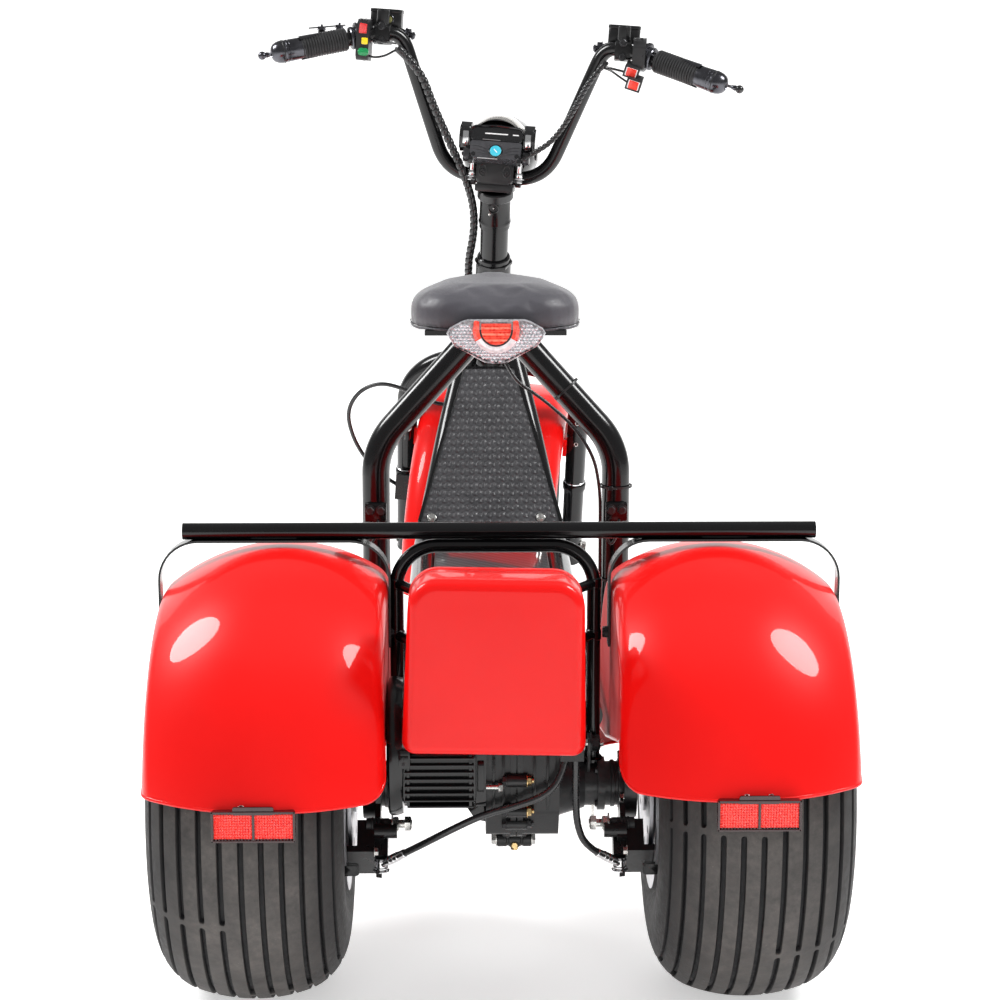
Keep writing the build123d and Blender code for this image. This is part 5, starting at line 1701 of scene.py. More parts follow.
g_cyl(g, rc + SDIR * -10.5 + Vector((-5.5, 0, 0)), rc + SDIR * -10.5 + Vector((-5.5, 0, 0)) + back * 1.3, 2.0, 2, 14, 0.3)
# head bearing nut and dust ring
g_lathe(g, sf(0, 0, 180), SDIR, [(0, 15), (0, 27.5), (1.5, 28.2), (5, 28.2), (6, 26.5), (6, 15)], 8, 0, closed=True)
piece("stem_details", g, ["frame", "case", "steel"], "steering", turn=True, sharp=30)

g = Geo()
# two-part clamp: rounded upper block, lower block and the gap between them
g_prism(g, rrect(-27, 27, 829, 861, 6.5, 6), 938.4, 987.5, lambda u, v, w: (u, w, v), 0, 3.0, 3)
g_prism(g, rrect(-27.6, 27.6, 817.4, 828.0, 2.2, 3), 939.6, 986, lambda u, v, w: (u, w, v), 0, 1.0, 2)
g_prism(g, rrect(-25, 25, 826, 832, 1.0, 2), 941, 984, lambda u, v, w: (u, w, v), 1)
for s in (-1, 1):
    # oval recesses with their screws
    c = Vector((s * 17.5, 938.0, 848.0))
    ring, inner = [], []
    for k in range(28):
        a = 2 * PI * k / 28
        ring.append((c.x + 5.6 * math.cos(a), 937.9, c.z + 8.2 * math.sin(a)))
        inner.append((c.x + 4.6 * math.cos(a), 938.9, c.z + 7.2 * math.sin(a)))
    g_tube(g, ring, 1.0, 0, 8, closed=True)
    n0 = len(g.v)
    g.add(inner, [tuple(range(28))], 1)
    g_socket(g, (c.x, 938.9, c.z - 1.2), (0, -1, 0), 3.7, 1.6, 3, 1)
    # chrome posts that carry the lamp
    g_cyl(g, (s * 34.0, 950, 842), (s * 34.0, 946, 872), 4.6, 2, 28, 0.8)
    g_cyl(g, (s * 34.0, 950.6, 839), (s * 34.0, 949.6, 847), 6.6, 2, 28, 1.0)
    g_hex(g, (s * 34.0, 951, 838), (0, -0.1, -1), 7.0, 5.0, 2, 1.2, 0.1, 0.8)
    g_box(g, (s * 30.2 - 2.6, 942, 862), (s * 30.2 + 8.4 * 0 + 2.6, 956, 874), 2, 0.8)
    # rubber collars on the bar beside the clamp
    p = Vector((s * 29, 963, 838))
    g_lathe(g, p, (s, 0, 0), [(0, 10.1), (0, 12.6), (1.2, 13.4), (7.5, 13.4), (8.6, 12.4), (8.6, 10.1)], 40, 3, closed=True)
    g_socket(g, (s * 33, 949.8, 838), (0, -1, 0), 3.6, 2.4, 2, 1)
g_lathe(g, sf(0, 0, 291), SDIR, [(0, 20), (0, 25.2), (1.5, 26.4), (12, 26.4), (13.8, 25.0), (13.8, 20)], 48, 0, closed=True)
piece("clamp_block", g, ["cast_s", "case", "chrome", "steel_dark"], "steering", turn=True, replaces=("bar_clamp",), sharp=30)

# ------------------------------------------------------------------ display and headlight shell
g = Geo()


def disp_pt(u, v, w):
    """Display face: u across, v up its own slope, w out of it towards the rider."""
    t = math.radians(24)
    o = Vector((0, 920.5, 866.5))
    return o + Vector((u, 0, 0)) + Vector((0, math.sin(t), math.cos(t))) * v + Vector((0, -math.cos(t), math.sin(t))) * w


def dprism(poly, w0, w1, mat, bev=0.0, seg=2):
    g_prism(g, poly, w0, w1, lambda u, v, w: tuple(disp_pt(u, v, w)), mat, bev, seg)


# lower face of the instrument, with embossed lines that step down to the key
face = [(-33, 0), (33, 0), (36.5, 7), (37.5, 26), (-37.5, 26), (-36.5, 7)]
dprism(round_poly(face, 3.5, 4), -26, 0, 0, 1.4)
for s in (-1, 1):
    for k, (z0, z1, x1) in enumerate(((18.6, 16.0, 13.5), (13.6, 12.2, 14.5), (8.6, 7.6, 12.5))):
        g_tube(g, [disp_pt(s * (34 - k * 0.8), z0, 0.1), disp_pt(s * (24), z0 - 0.6, 0.35), disp_pt(s * (x1 + 4), z1, 0.4), disp_pt(s * x1, z1 - 2.2, 0.2)], 0.75, 0, 6)
    g_cyl(g, disp_pt(s * 31.5, 5.0, -1), disp_pt(s * 31.5, 5.0, 1.0), 3.2, 1, 20, 0.5)
    g_box(g, tuple(disp_pt(s * 35 - 3.2, -8, -5)), tuple(disp_pt(s * 35 + 3.2, 1, 1) + Vector((0, 3, 0))), 1, 0.9)
# glossy display window and its visor
win = [(-36, 26.5), (36, 26.5), (37.5, 31), (36.5, 43.0), (32, 46.5), (0, 48.5), (-32, 46.5), (-36.5, 43.0), (-37.5, 31)]
dprism(round_poly(win, 3.0, 4), -26, 0.6, 1, 1.6)
dprism([(-33.5, 29.0), (33.5, 29.0), (32.5, 41.5), (0, 43.2), (-32.5, 41.5)], 0.4, 1.0, 2, 0.3)
for x0, x1, v0 in ((-17, 16, 37.2), (23, 31.5, 37.0)):
    dprism([(x0, v0 - 1.0), (x1, v0 - 1.0), (x1, v0 + 0.8), (x0, v0 + 0.8)], 0.9, 1.15, 5, 0.05, 1)
dprism([(-20, 27.4), (6, 27.0), (6, 28.1), (-20, 28.5)], 0.3, 0.95, 6, 0.2)
g_tube(g, [disp_pt(-37.0, 44, 1.2), disp_pt(-32, 47.2, 1.8), disp_pt(0, 49.2, 2.2), disp_pt(32, 47.2, 1.8), disp_pt(37.0, 44, 1.2)], 1.6, 1, 10)
g_tube(g, [disp_pt(u, -0.6, 0.3) for u in (-25, -10, 4)], 1.0, 6, 8)
# key barrel
kc = disp_pt(0.5, 10.5, 0)
kn = disp_pt(0, 0, 1) - disp_pt(0, 0, 0)
g_lathe(g, kc, kn, [(0, 0), (0, 10.2), (1.6, 10.2), (2.4, 9.5), (2.4, 8.3), (1.6, 8.2)], 40, 1)
g_lathe(g, kc, kn, [(1.2, 8.2), (2.6, 8.1), (3.1, 7.4), (3.1, 0)], 40, 3)
kr, ku = Vector((1, 0, 0)), disp_pt(0, 1, 0) - disp_pt(0, 0, 0)
d1 = (kr * 0.7 - ku * 0.72).normalized()
d2 = kn.cross(d1)
m4 = Matrix(((d1.x, d2.x, kn.x, 0), (d1.y, d2.y, kn.y, 0), (d1.z, d2.z, kn.z, 0), (0, 0, 0, 1)))
g_box(g, (-3.6, -0.75, -0.2), (3.6, 0.75, 0.35), 4, 0.2, 1, Matrix.Translation(kc + kn * 3.1) @ m4)
# side cheeks of the lamp
for s in (-1, 1):
    pod = [(938, 880), (946, 873), (962, 871), (976, 875), (982, 887), (980, 905), (970, 915), (952, 915), (941, 908), (937, 894)]
    g_prism(g, round_poly(pod, 6, 4), s * 38.5, s * 53.5, swap, 1, 3.2, 3)
    g_prism(g, round_poly(offset_poly(pod, -4.5), 5, 4), s * 52.4, s * 55.0, swap, 1, 1.0, 2)
    g_prism(g, round_poly([(938, 864), (948, 858), (965, 862), (974, 872), (970, 884), (944, 884)], 4, 4), s * 38.5, s * 48.0, swap, 0, 2.6, 3)
    g_box(g, (s * 45 - 4.6, 935.0, 884), (s * 45 + 4.6, 939.4, 903), 6, 1.8)
# pale dome over the top, ahead of the visor
n, mth = 36, 18
vs, fs = [], []
for i in range(mth + 1):
    q = i / mth
    y = 938 + 62 * q
    r = 52.5 * math.sqrt(max(0.0, 1 - ((y - 974) / 74.0) ** 2))
    for k in range(n + 1):
        a = math.radians(22 + 136 * k / n)
        vs.append((r * 0.93 * math.cos(a), y, 875 + (r * 1.0) * math.sin(a) * 1.02))
for i in range(mth):
    for k in range(n):
        fs.append((i * (n + 1) + k, i * (n + 1) + k + 1, (i + 1) * (n + 1) + k + 1, (i + 1) * (n + 1) + k))
g.add(vs, fs, 7)
g_tube(g, [(r2 * 0.5, 941, 875 + 46 * math.sqrt(max(0, 1 - (r2 / 2 / 47.0) ** 2))) for r2 in np.linspace(-78, 78, 24)], 0.9, 0, 6)
# lamp bowl, bezel and lens
g_lathe(g, (0, 962, 872), (0, 1, 0), [(0, 0), (0, 36), (4, 42), (14, 49), (30, 53.5), (52, 55), (60, 55.4)], 72, 1)
g_lathe(g, (0, 962, 872), (0, 1, 0), [(58, 50), (58, 55.4), (60, 55.9), (74, 55.9), (79, 54.6), (82.6, 51.5), (82.6, 48.6), (76, 47)], 72, 6, closed=True)
prof = [(70, 48.0), (75, 47.2), (79.0, 38), (81.5, 24), (82.6, 10), (82.8, 0)]
g_lathe(g, (0, 962, 872), (0, 1, 0), prof, 72, 8)
for k in range(-7, 8):
    x = 6.1 * k
    h = math.sqrt(max(0, 46 ** 2 - x * x))
    if h > 8:
        g_tube(g, [(x, 962 + 82.2 - 0.0016 * (x * x + z * z) * 1.5, 872 + z) for z in np.linspace(-h, h, 12)], 0.7, 8, 6)
for s in (-1, 1):
    g_cyl(g, (s * 53, 1000, 872), (s * 55.6, 1000, 872), 8, 1, 28, 0.8)
    g_hex(g, (s * 53.5, 1000, 872), (s, 0, 0), 4.6, 2.2, 9, 0.0)
piece("instrument_and_lamp", g, ["grey_case", "gloss_case", "gloss_case", "cyan", "white", "white", "chrome", "lamp_shell", "glass", "steel"], "steering",
      turn=True, replaces=("display_unit", "headlight"), sharp=30)

# ------------------------------------------------------------------ grips and bar ends
A0, B0 = Vector((208, 907, 1022.8)), Vector((316, 866.5, 992.9))
GD = (B0 - A0).normalized()
for side, nm in ((-1, "left"), (1, "right")):
    g = Geo()
    # flange next to the controls
    g_lathe(g, A0 - GD * 6, GD, [(0, 10.2), (0, 18.5), (0.6, 19.8), (3.0, 21.0), (5.4, 20.8), (6.2, 19.4), (6.6, 15.5), (9.0, 15.0), (10.4, 16.2), (13.2, 16.4), (14.6, 15.2), (14.8, 10.2)], 56, 1, closed=True)
    # ribbed rubber
    prof, t, k = [(14.0, 10.2), (14.0, 14.6), (15.2, 15.6)], 16.0, 0
    rib_end = 78.0
    while t < rib_end:
        fade = 1.0
        prof += [(t, 15.1), (t + 0.7, 16.35), (t + 2.3, 16.5), (t + 3.0, 15.1)]
        t += 3.9
    prof += [(rib_end + 2, 15.4), (rib_end + 3, 10.2)]
    g_lathe(g, A0, GD, prof, 64, 0, closed=True)
    # metal sleeve with its long thumb facet and the rings
    g_lathe(g, A0, GD, [(rib_end - 2, 10.2), (rib_end - 2, 14.4), (rib_end, 15.2), (98, 15.6), (98.6, 15.0), (99.4, 15.0), (100, 15.8), (102.4, 15.8), (103, 15.2), (104, 15.2)], 64, 1)
    # rounded bar end with a rim and a dark dimple
    g_lathe(g, A0, GD, [(103.0, 14.2), (103.4, 15.4), (106, 16.1), (111, 15.8), (116, 14.6), (120.5, 12.2), (123.0, 9.0), (123.9, 6.2), (122.4, 5.4), (121.6, 0)], 64, 1)
    g_lathe(g, A0, GD, [(106.2, 16.0), (106.6, 16.35), (107.4, 16.35), (107.8, 16.0)], 64, 2)
    # a shaped metal tongue that runs back over the rubber
    for a0, length in ((-1.25, 34), (1.9, 24)):
        uu = Vector((0, -1, 0)) - GD * Vector((0, -1, 0)).dot(GD)
        uu.normalize()
        vv = GD.cross(uu)
        vs, fs = [], []
        nn, ww = 14, 9
        for i in range(nn + 1):
            tt = rib_end + 4 - length * i / nn
            width = 0.52 * (1 - (i / nn) ** 3)
            for q in range(ww + 1):
                a = a0 + (-1 + 2 * q / ww) * width
                rr = 16.75 + 0.25 * math.cos((q / ww - 0.5) * PI) - 0.5 * (i / nn)
                vs.append(A0 + GD * tt + (uu * math.cos(a) + vv * math.sin(a)) * rr)
        for i in range(nn):
            for q in range(ww):
                fs.append((i * (ww + 1) + q, i * (ww + 1) + q + 1, (i + 1) * (ww + 1) + q + 1, (i + 1) * (ww + 1) + q))
        g.add(vs, fs, 1)
    if side < 0:
        g = g.mirrored()
    piece("grip_%s" % nm, g, ["rubber", "gunmetal", "case"], "steering", turn=True, replaces=("grips",) if side < 0 else (), sharp=28)

# ------------------------------------------------------------------ brake controls, levers and switches
BARD = Vector((165, -61, -44)).normalized()          # the grip run of the bar, outward
for side, nm in ((-1, "left"), (1, "right")):
    g = Geo()
    # reservoir with its stepped lid and screws
    g_prism(g, rrect(148.6, 193.4, 936.6, 965.4, 4.5, 4), 1040, 1061, lambda u, v, w: (u, v, w), 0, 1.2)
    g_prism(g, rrect(148, 194, 936, 966, 4.5, 4), 1060.4, 1066, lambda u, v, w: (u, v, w), 0, 1.4)
    for x in (153, 189):
        for y in (941, 961):
            g_socket(g, (x, y, 1064.2), (0, 0, 1), 2.6, 1.7, 2, 1)
    # sight glass on the rear wall
    gx = 166.0 if side < 0 else 172.0
    g_lathe(g, (gx, 936.8, 1051.5), (0, -1, 0), [(0, 7.4), (1.6, 7.2), (2.2, 6.4), (1.8, 5.4), (0.6, 5.2)], 40, 3, closed=True)
    g_lathe(g, (gx, 936.6, 1051.5), (0, -1, 0), [(0, 5.3), (0.8, 4.8), (1.1, 0)], 32, 4)
    # mirror boss with its open threaded hole
    bx_ = 172.0
    g_lathe(g, (bx_, 918, 1040), (0, 0, 1), [(0, 4.3), (0, 8.6), (1, 9), (22.6, 9), (24, 8.0), (24, 5.0), (23.2, 4.35)], 40, 0, closed=True)
    g_lathe(g, (bx_, 918, 1048), (0, 0, 1), [(0, 0), (0, 4.3), (16, 4.3)], 32, 1)
    # master cylinder body and half clamp with two screws
    g_prism(g, round_poly([(930, 1020), (950, 1020), (950, 1044), (938, 1046), (930, 1040)], 4, 4), 160.5, 183.5, swap, 0, 1.6)
    g_prism(g, round_poly([(906, 1018), (920, 1015), (945, 1016), (945, 1046), (926, 1047), (906, 1040)], 5, 4), 160.5, 183.5, swap, 0, 1.8)
    for z in (1021.5, 1041.5):
        g_cyl(g, (172, 907.5, z), (172, 904.6, z), 5.0, 0, 24, 0.6)
        g_hex(g, (172, 905.2, z), (0, -1, 0), 4.6, 3.6, 2, 0.8, 0.3)
    # hose union towards the middle
    p = Vector((150, 946, 1034))
    d = Vector((-1, -0.12, -0.18)).normalized()
    g_lathe(g, p, d, [(-6, 0), (-6, 7.0), (4, 6.4), (5, 5.6), (9, 5.6), (9, 0)], 32, 0)
    g_hex(g, p + d * 8, d, 7.4, 5.0, 3, 1.0, 0.2)
    g_lathe(g, p + d * 13, d, [(0, 0), (0, 4.6), (1.2, 5.4), (2.6, 5.4), (3.2, 4.2), (4.6, 4.2), (5.4, 5.8), (7.6, 5.8), (8.4, 4.2), (9.4, 3.4), (9.4, 0)], 32, 3)
    g_hex(g, p + d * 13 + Vector((0, 0, 4)), (0, 0, 1), 4.2, 3.6, 3, 0.8)
    # lever: pivot, flattened blade and its ball
    L0, L1, L2 = Vector((176, 946, 1030)), Vector((236, 942, 1012)), Vector((340, 900, 988))
    g_cyl(g, L0 + Vector((0, 0, -7)), L0 + Vector((0, 0, 8)), 7.4, 0, 32, 1.0)
    g_hex(g, L0 + Vector((0, 0, 8)), (0, 0, 1), 5.0, 3.6, 2, 0.8)
    lp = smooth_path([L0, L0.lerp(L1, 0.5) + Vector((0, 3, 1)), L1, L1.lerp(L2, 0.34) + Vector((0, 2.5, 0.5)), L1.lerp(L2, 0.7), L2], 4)
    g_tube(g, lp, 4.0, 5, 14, rf=lambda q: 5.0 - 1.6 * q if q < 0.5 else 4.2 - 1.9 * (q - 0.5) * 2 * 0.9, flat=0.72)
    tdir = (L2 - L1).normalized()
    g_lathe(g, L2 - tdir * 13, tdir, [(0, 2.4), (3, 3.2), (6, 4.0), (8.4, 3.4)], 24, 5)
    g_sphere(g, L2, 6.0, 5 if side < 0 else 6, 28)
    # adjuster hardware standing over the lever
    q0 = Vector((236, 930, 1030)) if side < 0 else Vector((232, 934, 1024))
    if side < 0:
        for dx in (0, 26):
            c = q0 + Vector((dx * 0.93, -dx * 0.30, -dx * 0.16))
            g_cyl(g, c + Vector((0, 0, -12)), c + Vector((0, 0, 4)), 5.0, 0, 24, 0.8)
            g_hex(g, c + Vector((0, 0, 4)), (0, 0, 1), 5.6, 4.2, 3, 0.8, 0.3)
            g_cyl(g, c + Vector((0, 0, 7)), c + Vector((0, 0, 12)), 1.6, 3, 12, 0.3)
        c = q0 + Vector((-8, 3, 9))
        g_tube(g, [c, c + Vector((50, -17, -8))], 1.0, 3, 8)
    # switch pod
    if side < 0:
        poly = round_poly([(887, 992), (926, 991), (928, 1020), (927, 1046), (915, 1050), (893, 1048), (886.5, 1036)], 6, 5)
        g_prism(g, poly, 186.5, 204.5, swap, 1, 2.4, 3)
        g_prism(g, round_poly(offset_poly(poly, 0.4), 5, 2), 194.6, 196.4, swap, 1, 0.4, 1)
        m4 = Matrix.Translation((195.5, 888.2, 1036))
        g_box(g, (-7.0, -1.6, -8.5), (7.0, 3, 8.5), 1, 1.0, 2, m4)
        g_prism(g, round_poly([(-5.4, -7.0), (5.6, -7.0), (4.2, 7.2), (-6.0, 6.2)], 1.4, 3), 0, 5.2, lambda u, v, w: tuple(Vector((195.5 + u, 886.8 - w * (0.75 + 0.05 * v), 1036 + v))), 7, 0.8)
        g_prism(g, rrect(-4.4, 4.4, -4.6, 4.6, 1.4, 3), 0, 4.4, lambda u, v, w: tuple(Vector((192.0 + u, 887.6 - w, 1018.5 + v))), 8, 0.8)
        g_prism(g, rrect(-5.4, 5.4, -5.6, 5.6, 1.4, 3), -1.5, 1.0, lambda u, v, w: tuple(Vector((192.0 + u, 887.6 - w, 1018.5 + v))), 1, 0.4)
        g_prism(g, rrect(-8.2, 7.6, -5.4, 5.4, 5.0, 5), 0, 4.0, lambda u, v, w: tuple(Vector((193.5 + u, 887.6 - w, 1003.5 + v))), 9, 1.0)
    else:
        poly = round_poly([(889, 1006), (926, 1002), (928, 1020), (927, 1046), (915, 1050), (893, 1048), (887, 1036)], 7, 5)
        g_prism(g, poly, 186.5, 204.5, swap, 1, 2.6, 3)
        for k, (x, z, y) in enumerate(((187.0, 1001, 884), (191.5, 984, 880))):
            m4 = Matrix.Translation((x, y, z)) @ Matrix.Rotation(math.radians(14), 4, "Y") @ Matrix.Rotation(math.radians(16), 4, "X")
            g_box(g, (-10.5, 0, -8.5), (10.5, 26, 8.5), 1, 1.0, 2, m4)
            g_box(g, (-10.9, -1.4, -8.9), (10.9, 1.2, 8.9), 1, 0.9, 2, m4)
            g_box(g, (-8.2, -2.2, -6.2), (8.2, 0, 6.2), 10, 0.8, 2, m4)
            g_prism(g, [(-6.0, -2.2), (0, -3.2), (6.0, -4.8), (6.0, 0), (-6.0, 0)], -5.0, 5.0,
                    lambda u, v, w, m4=m4: tuple(m4 @ Vector((w * 1.35, v, u))), 11, 0.4)
    for q in ((198, 888, 1047), (190, 889, 1046)):
        g_socket(g, q, (0, -0.6, 0.8), 2.0, 1.6, 2, 1)
    if side < 0:
        g = g.mirrored()
    mats = ["cast", "case", "steel_dark", "gunmetal", "sight", "gunmetal", "gloss_case", "sw_red", "sw_yellow", "sw_green", "white", "bright_red"]
    piece("bar_controls_%s" % nm, g, mats, "steering", turn=True, replaces=("brake_controls", "switch_pods") if side < 0 else (), sharp=30)

# leads from the switches to the bar
g = Geo()
g_tube(g, smooth_path([(-192, 900, 1000), (-180, 898, 997), (-165, 902, 1000), (-152, 910, 1008)], 3), 1.6, 0, 8)
g_tube(g, smooth_path([(-188, 900, 1022), (-176, 897, 1020), (-163, 900, 1019), (-150, 910, 1018)], 3), 1.4, 0, 8)
g_tube(g, smooth_path([(182, 896, 1000), (172, 897, 1002), (160, 902, 1004), (149, 910, 1006)], 3), 1.7, 0, 8)
g_tube(g, smooth_path([(184, 893, 986), (170, 892, 994), (158, 900, 1001), (148, 911, 1004)], 3), 1.5, 0, 8)
piece("switch_leads", g, ["hose"], "steering", turn=True, sharp=60)

# ------------------------------------------------------------------ fork, front brake and axle details
g = Geo()
fu = SDIR


def leg(x, L):
    return Vector((x, 1300 + fu.y * L, 228.8 + fu.z * L))


for s in (-1, 1):
    p = leg(s * 136, 0)
    g_hex(g, p + Vector((s * 15.2, 0, 0)), (s, 0, 0), 11.5, 8.0, 1, 2.0, 0.2, 1.0)
    g_lathe(g, leg(s * 136, 120), fu, [(0, 16.0), (0.6, 18.2), (9, 18.6), (12, 17.4), (14, 16.0)], 48, 0)
    g_lathe(g, leg(s * 136, 134), fu, [(0, 16.0), (0.5, 16.6), (2, 16.6), (2.5, 16.0)], 48, 2)
    g_lathe(g, leg(s * 136, -27), fu, [(0, 0), (0, 14), (1.6, 16.3), (6, 16.3), (7, 15.9)], 48, 0)
    for L in (210, 250):
        g_socket(g, leg(s * 136, L) + Vector((0, -15.4, -2)), (0, -1, -0.1), 3.6, 2.6, 1, 0)
# bracket and guide of the front brake beside the left leg
b0 = leg(-136, 232)
g_box(g, tuple(b0 + Vector((-14, -30, -10))), tuple(b0 + Vector((8, -16, 14))), 0, 1.6)
g_box(g, tuple(b0 + Vector((2, -34, -34))), tuple(b0 + Vector((10, -20, -4))), 0, 1.6)
g_cyl(g, b0 + Vector((-4, -30, 6)), b0 + Vector((-4, -36, 6)), 4.6, 1, 20, 0.6)
g_hex(g, b0 + Vector((6, -34, -12)), (0, -1, 0), 5.2, 4.4, 1, 1.0)
g_cyl(g, b0 + Vector((8, -24, 14)), b0 + Vector((10, -22, 50)), 3.6, 0, 20, 0.6)
g_cyl(g, b0 + Vector((8, -24, 22)), b0 + Vector((9, -23, 34)), 5.0, 0, 20, 0.8)
piece("fork_details", g, ["frame", "steel", "chrome"], "steering", turn=True, sharp=35)

# ------------------------------------------------------------------ handlebar tube, each lower corner one wide bend
def bar_path():
    V = [Vector(p) for p in ((-312, 868, 994), (-147, 929, 1038), (-70.9, 961, 838), (70.9, 961, 838), (147, 929, 1038), (312, 868, 994))]
    out = [V[0]]
    for i, d in ((1, 30), (2, 44), (3, 44), (4, 30)):
        a, b = (V[i - 1] - V[i]).normalized(), (V[i + 1] - V[i]).normalized()
        for k in range(17):
            t = k / 16
            out.append((V[i] + a * d) * (1 - t) ** 2 + V[i] * (2 * t * (1 - t)) + (V[i] + b * d) * t ** 2)
    return out + [V[-1]]


g = Geo()
g_tube(g, smooth_path(bar_path(), 4.0), 10.0, 0, 32)
piece("handlebar_tube", g, ["frame"], "steering", turn=True, replaces=("handlebar",), sharp=60)


# ------------------------------------------------------------------ cords: one NURBS spline each, on the route's own points
def route(name, pts, turn, r, mat, res=10):
    cu = bpy.data.curves.new(name, "CURVE")
    cu.dimensions = "3D"
    sp = cu.splines.new("NURBS")
    sp.points.add(len(pts) - 1)
    for sp_pt, q in zip(sp.points, pts):
        sp_pt.co = (*row_pt(q, turn), 1)
    sp.order_u = 3
    sp.use_endpoint_u = True
    cu.resolution_u = res
    if r:
        cu.bevel_depth = r / 1000
        cu.bevel_resolution = 6
        cu.use_fill_caps = True
    cu.materials.append(M[mat])
    o = bpy.data.objects.new(name, cu)
    bpy.context.scene.collection.objects.link(o)
    return o


HOSE_L = [(-103, -93, 181), (-82, -109, 197), (-54, -130, 219), (-18, -143, 241), (18, -145, 251), (46, -145, 262),
          (61, -142, 279), (66, -138, 299)]
HOSE_R = [(103, -93, 181), (88, -105, 194), (79, -117, 220), (77, -128, 250), (76.5, -136, 276), (76.5, -138, 299)]
HOSE_F = [ax(-28, 12, -32), ax(-34, 10, -60), (-62, 1106, 474), (-100, 1098, 484), (-136, 1100, 499), (-172, 1106, 503),
          (-204, 1114, 486), (-222, 1124, 452), (-214, 1138, 412), (-196, 1160, 375), (-172, 1200, 340), (-150, 1232, 322)]
LOOM_L = [(-148, 912, 1012), (-115, 920, 985), (-94, 927, 935), (-66, 942, 880), (-46, 944, 842), ax(-34, -4, 288),
          ax(-30, -2, 255), ax(-31, -2, 222), ax(-38, 2, 180), ax(-38, 12, 130), ax(-33, 24, 76), ax(-27, 34, 34),
          ax(-26, 36, -12)]
LOOM_R = [(150, 912, 1012), (130, 908, 990), (108, 912, 940), (84, 926, 900), (60, 934, 880), (38, 938, 868)]

for name, pts, turn, r, body, cad, length in (
        ("rear_hose_left", HOSE_L, False, 3.7, "frame", "brake_hose_left", 0.226),
        ("rear_hose_right", HOSE_R, False, 3.7, "frame", "brake_hose_right", 0.135),
        ("front_hose", HOSE_F, True, 3.2, "steering", "front_brake_hose", 0.447)):
    o = route(name, pts, turn, r, "hose")
    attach(o, body)
    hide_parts(cad)


def spiral(name, pts, r, pitch, cad):
    """Cable bundle in a spiral wrap, along the points of its own spline."""
    o = route(name + "_line", pts, True, 0, "loom", 16)
    me = bpy.data.meshes.new_from_object(o)
    line = [tuple(v.co) for v in me.vertices]
    bpy.data.objects.remove(o)
    bpy.data.meshes.remove(me)
    inv = (ROW @ TURN).inverted()
    P = smooth_path([inv @ Vector(p) for p in line], 1.2)
    P = [p for i, p in enumerate(P) if i == 0 or (p - P[i - 1]).length > 1e-4]
    T, U = path_frames(P)
    g = Geo()
    g_tube(g, P[::3] + [P[-1]], r - 1.5, 0, 12)
    cum = [0.0]
    for a, b in zip(P, P[1:]):
        cum.append(cum[-1] + (b - a).length)
    w = pitch * 0.74
    sec = [(-w / 2, r - 1.9), (-w / 2, r - 0.7), (-w / 2 + 0.9, r - 0.12), (0, r), (w / 2 - 0.9, r - 0.12), (w / 2, r - 0.7), (w / 2, r - 1.9)]
    vs, fs = [], []
    steps = int(cum[-1] / pitch * 22)
    j = 0
    cnt = 0
    for i in range(steps + 1):
        s = cum[-1] * i / steps
        while j < len(cum) - 2 and cum[j + 1] < s:
            j += 1
        q = (s - cum[j]) / max(cum[j + 1] - cum[j], 1e-9)
        c, t = P[j].lerp(P[j + 1], q), T[j].lerp(T[j + 1], q).normalized()
        u = U[j].lerp(U[j + 1], q).normalized()
        v = t.cross(u)
        a = 2 * PI * s / pitch
        d = u * math.cos(a) + v * math.sin(a)
        side = t * math.cos(0.20) - (v * math.cos(a) - u * math.sin(a)) * math.sin(0.20)
        for k, rr in sec:
            off = c + side * k + d * rr
            vs.append(off)
        cnt += 1
    m = len(sec)
    for i in range(cnt - 1):
        for k in range(m):
            k2 = (k + 1) % m
            fs.append((i * m + k, i * m + k2, (i + 1) * m + k2, (i + 1) * m + k))
    fs.append(tuple(range(m))[::-1])
    fs.append(tuple((cnt - 1) * m + k for k in range(m)))
    g.add(vs, fs, 1)
    # collars at the ends
    for p, t in ((P[0], T[0]), (P[-1], -T[-1])):
        g_lathe(g, p - t * 1.0, t, [(0, 0), (0, r * 0.9), (1, r * 1.02), (11, r * 1.02), (12, r * 0.9), (12, 0)], 24, 0)
    ob = piece(name, g, ["hose", "loom"], "steering", turn=True, replaces=(cad,), sharp=45)
    return ob


spiral("wrapped_loom_left", LOOM_L, 6.0, 10.5, "cable_loom_left")
spiral("wrapped_loom_right", LOOM_R, 4.0, 8.0, "cable_loom_right")
# ------------------------------------------------------------------ stage and light
floor_mat, nt, b = new_mat("pale_floor")
b.inputs["Base Color"].default_value = (0.93, 0.93, 0.925, 1)
b.inputs["Roughness"].default_value = 0.55
b.inputs["Specular IOR Level"].default_value = 0.1
b.inputs["Emission Color"].default_value = (1, 1, 1, 1)
b.inputs["Emission Strength"].default_value = 0.46
me = bpy.data.meshes.new("floor")
R, H = 14.0, 9.0
prof = [(-R, 0.0)] + [(R - 3 + 3 * math.sin(t), 3 - 3 * math.cos(t)) for t in np.linspace(0, math.pi / 2, 16)] + [(R, H)]
vs = [(x, y, z - 0.0005) for y, z in prof for x in (-R, R)]
fs = [(2 * i, 2 * i + 1, 2 * i + 3, 2 * i + 2) for i in range(len(prof) - 1)]
me.from_pydata(vs, [], fs)
me.materials.append(floor_mat)
wall_mat, nt2, b2 = new_mat("pale_wall")
b2.inputs["Base Color"].default_value = (0.93, 0.93, 0.925, 1)
b2.inputs["Roughness"].default_value = 0.6
b2.inputs["Specular IOR Level"].default_value = 0.1
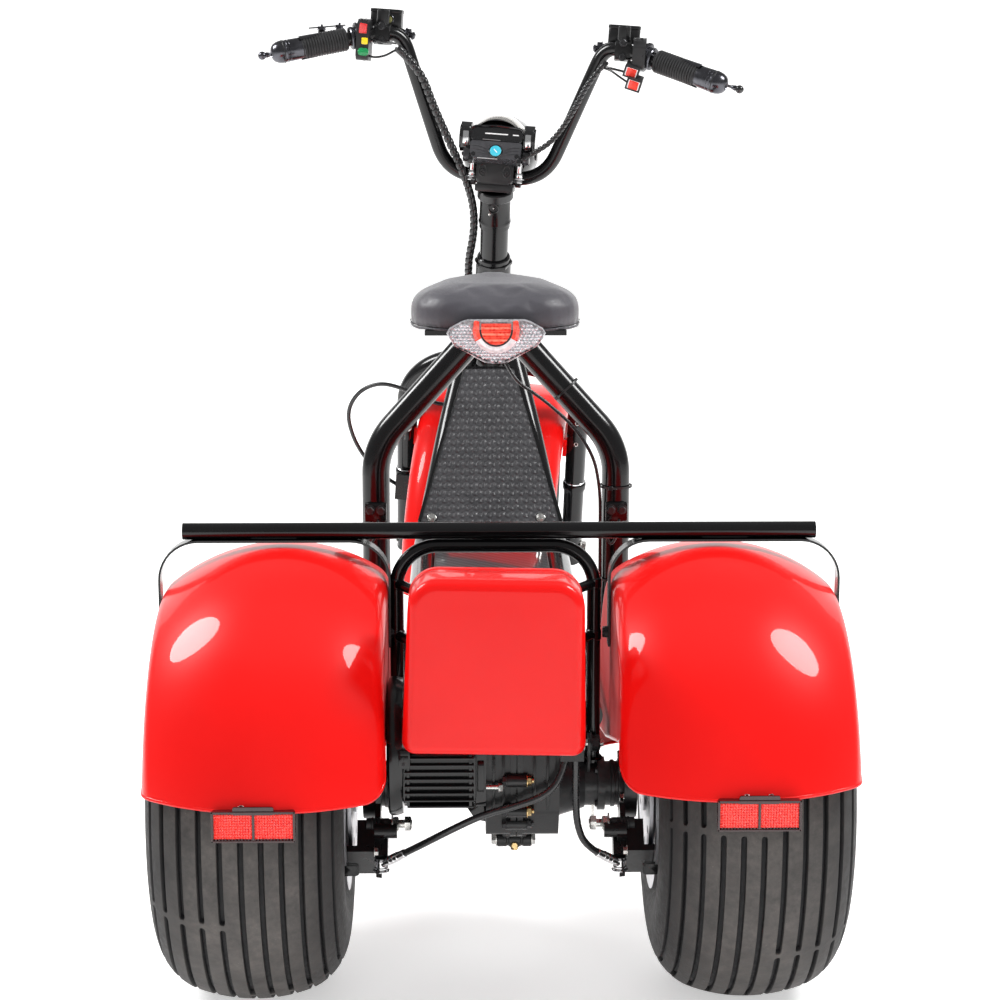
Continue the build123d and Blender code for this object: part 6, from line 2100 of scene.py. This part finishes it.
b2.inputs["Emission Color"].default_value = (1, 1, 1, 1)
b2.inputs["Emission Strength"].default_value = 0.85
me.materials.append(wall_mat)
for k, p in enumerate(me.polygons):
    p.material_index = 1 if k > 2 else 0
for p in me.polygons:
    p.use_smooth = True
floor = bpy.data.objects.new("floor", me)
bpy.context.scene.collection.objects.link(floor)

world = bpy.data.worlds.new("studio")
bpy.context.scene.world = world
world.use_nodes = True
wt = world.node_tree
bg = wt.nodes["Background"]
bg.inputs["Color"].default_value = (1, 1, 1, 1)
lp = wt.nodes.new("ShaderNodeLightPath")
mr = wt.nodes.new("ShaderNodeMapRange")
mr.inputs["To Min"].default_value, mr.inputs["To Max"].default_value = 0.30, 1.0
wt.links.new(lp.outputs["Is Camera Ray"], mr.inputs["Value"])
wt.links.new(mr.outputs["Result"], bg.inputs["Strength"])
bpy.context.scene.view_settings.view_transform = "Standard"
bpy.context.scene.view_settings.look = "None"


def area(name, loc, target, w, h, power, shape="RECTANGLE", color=(1, 1, 1)):
    l = bpy.data.lights.new(name, "AREA")
    l.shape = shape
    l.size, l.size_y = w, h
    l.energy = power
    l.color = color
    o = bpy.data.objects.new(name, l)
    bpy.context.scene.collection.objects.link(o)
    o.location = loc
    d = Vector(target) - Vector(loc)
    o.rotation_mode = "QUATERNION"
    o.rotation_quaternion = d.to_track_quat("-Z", "Y")
    return o


def fill(*args, **kw):
    o = area(*args, **kw)
    o.visible_glossy = False
    return o


# soft fills that give shape without showing in the gloss, and two softboxes that do show
fill("fill_back", (0.0, -5.2, 2.6), (0, -0.4, 0.5), 3.4, 2.4, 68)
fill("fill_top", (0, -0.6, 4.2), (0, -0.3, 0.3), 3.0, 3.0, 60)
fill("fill_front", (0.6, 4.6, 2.4), (0, 0.2, 0.5), 3.0, 2.2, 70)
area("key_left", (-2.4, 0.14, 2.68), (-0.24, -0.55, 0.4), 1.0, 1.5, 80, "ELLIPSE")
area("key_right", (2.25, -0.61, 2.85), (0.24, -0.55, 0.4), 1.0, 1.5, 80, "ELLIPSE")
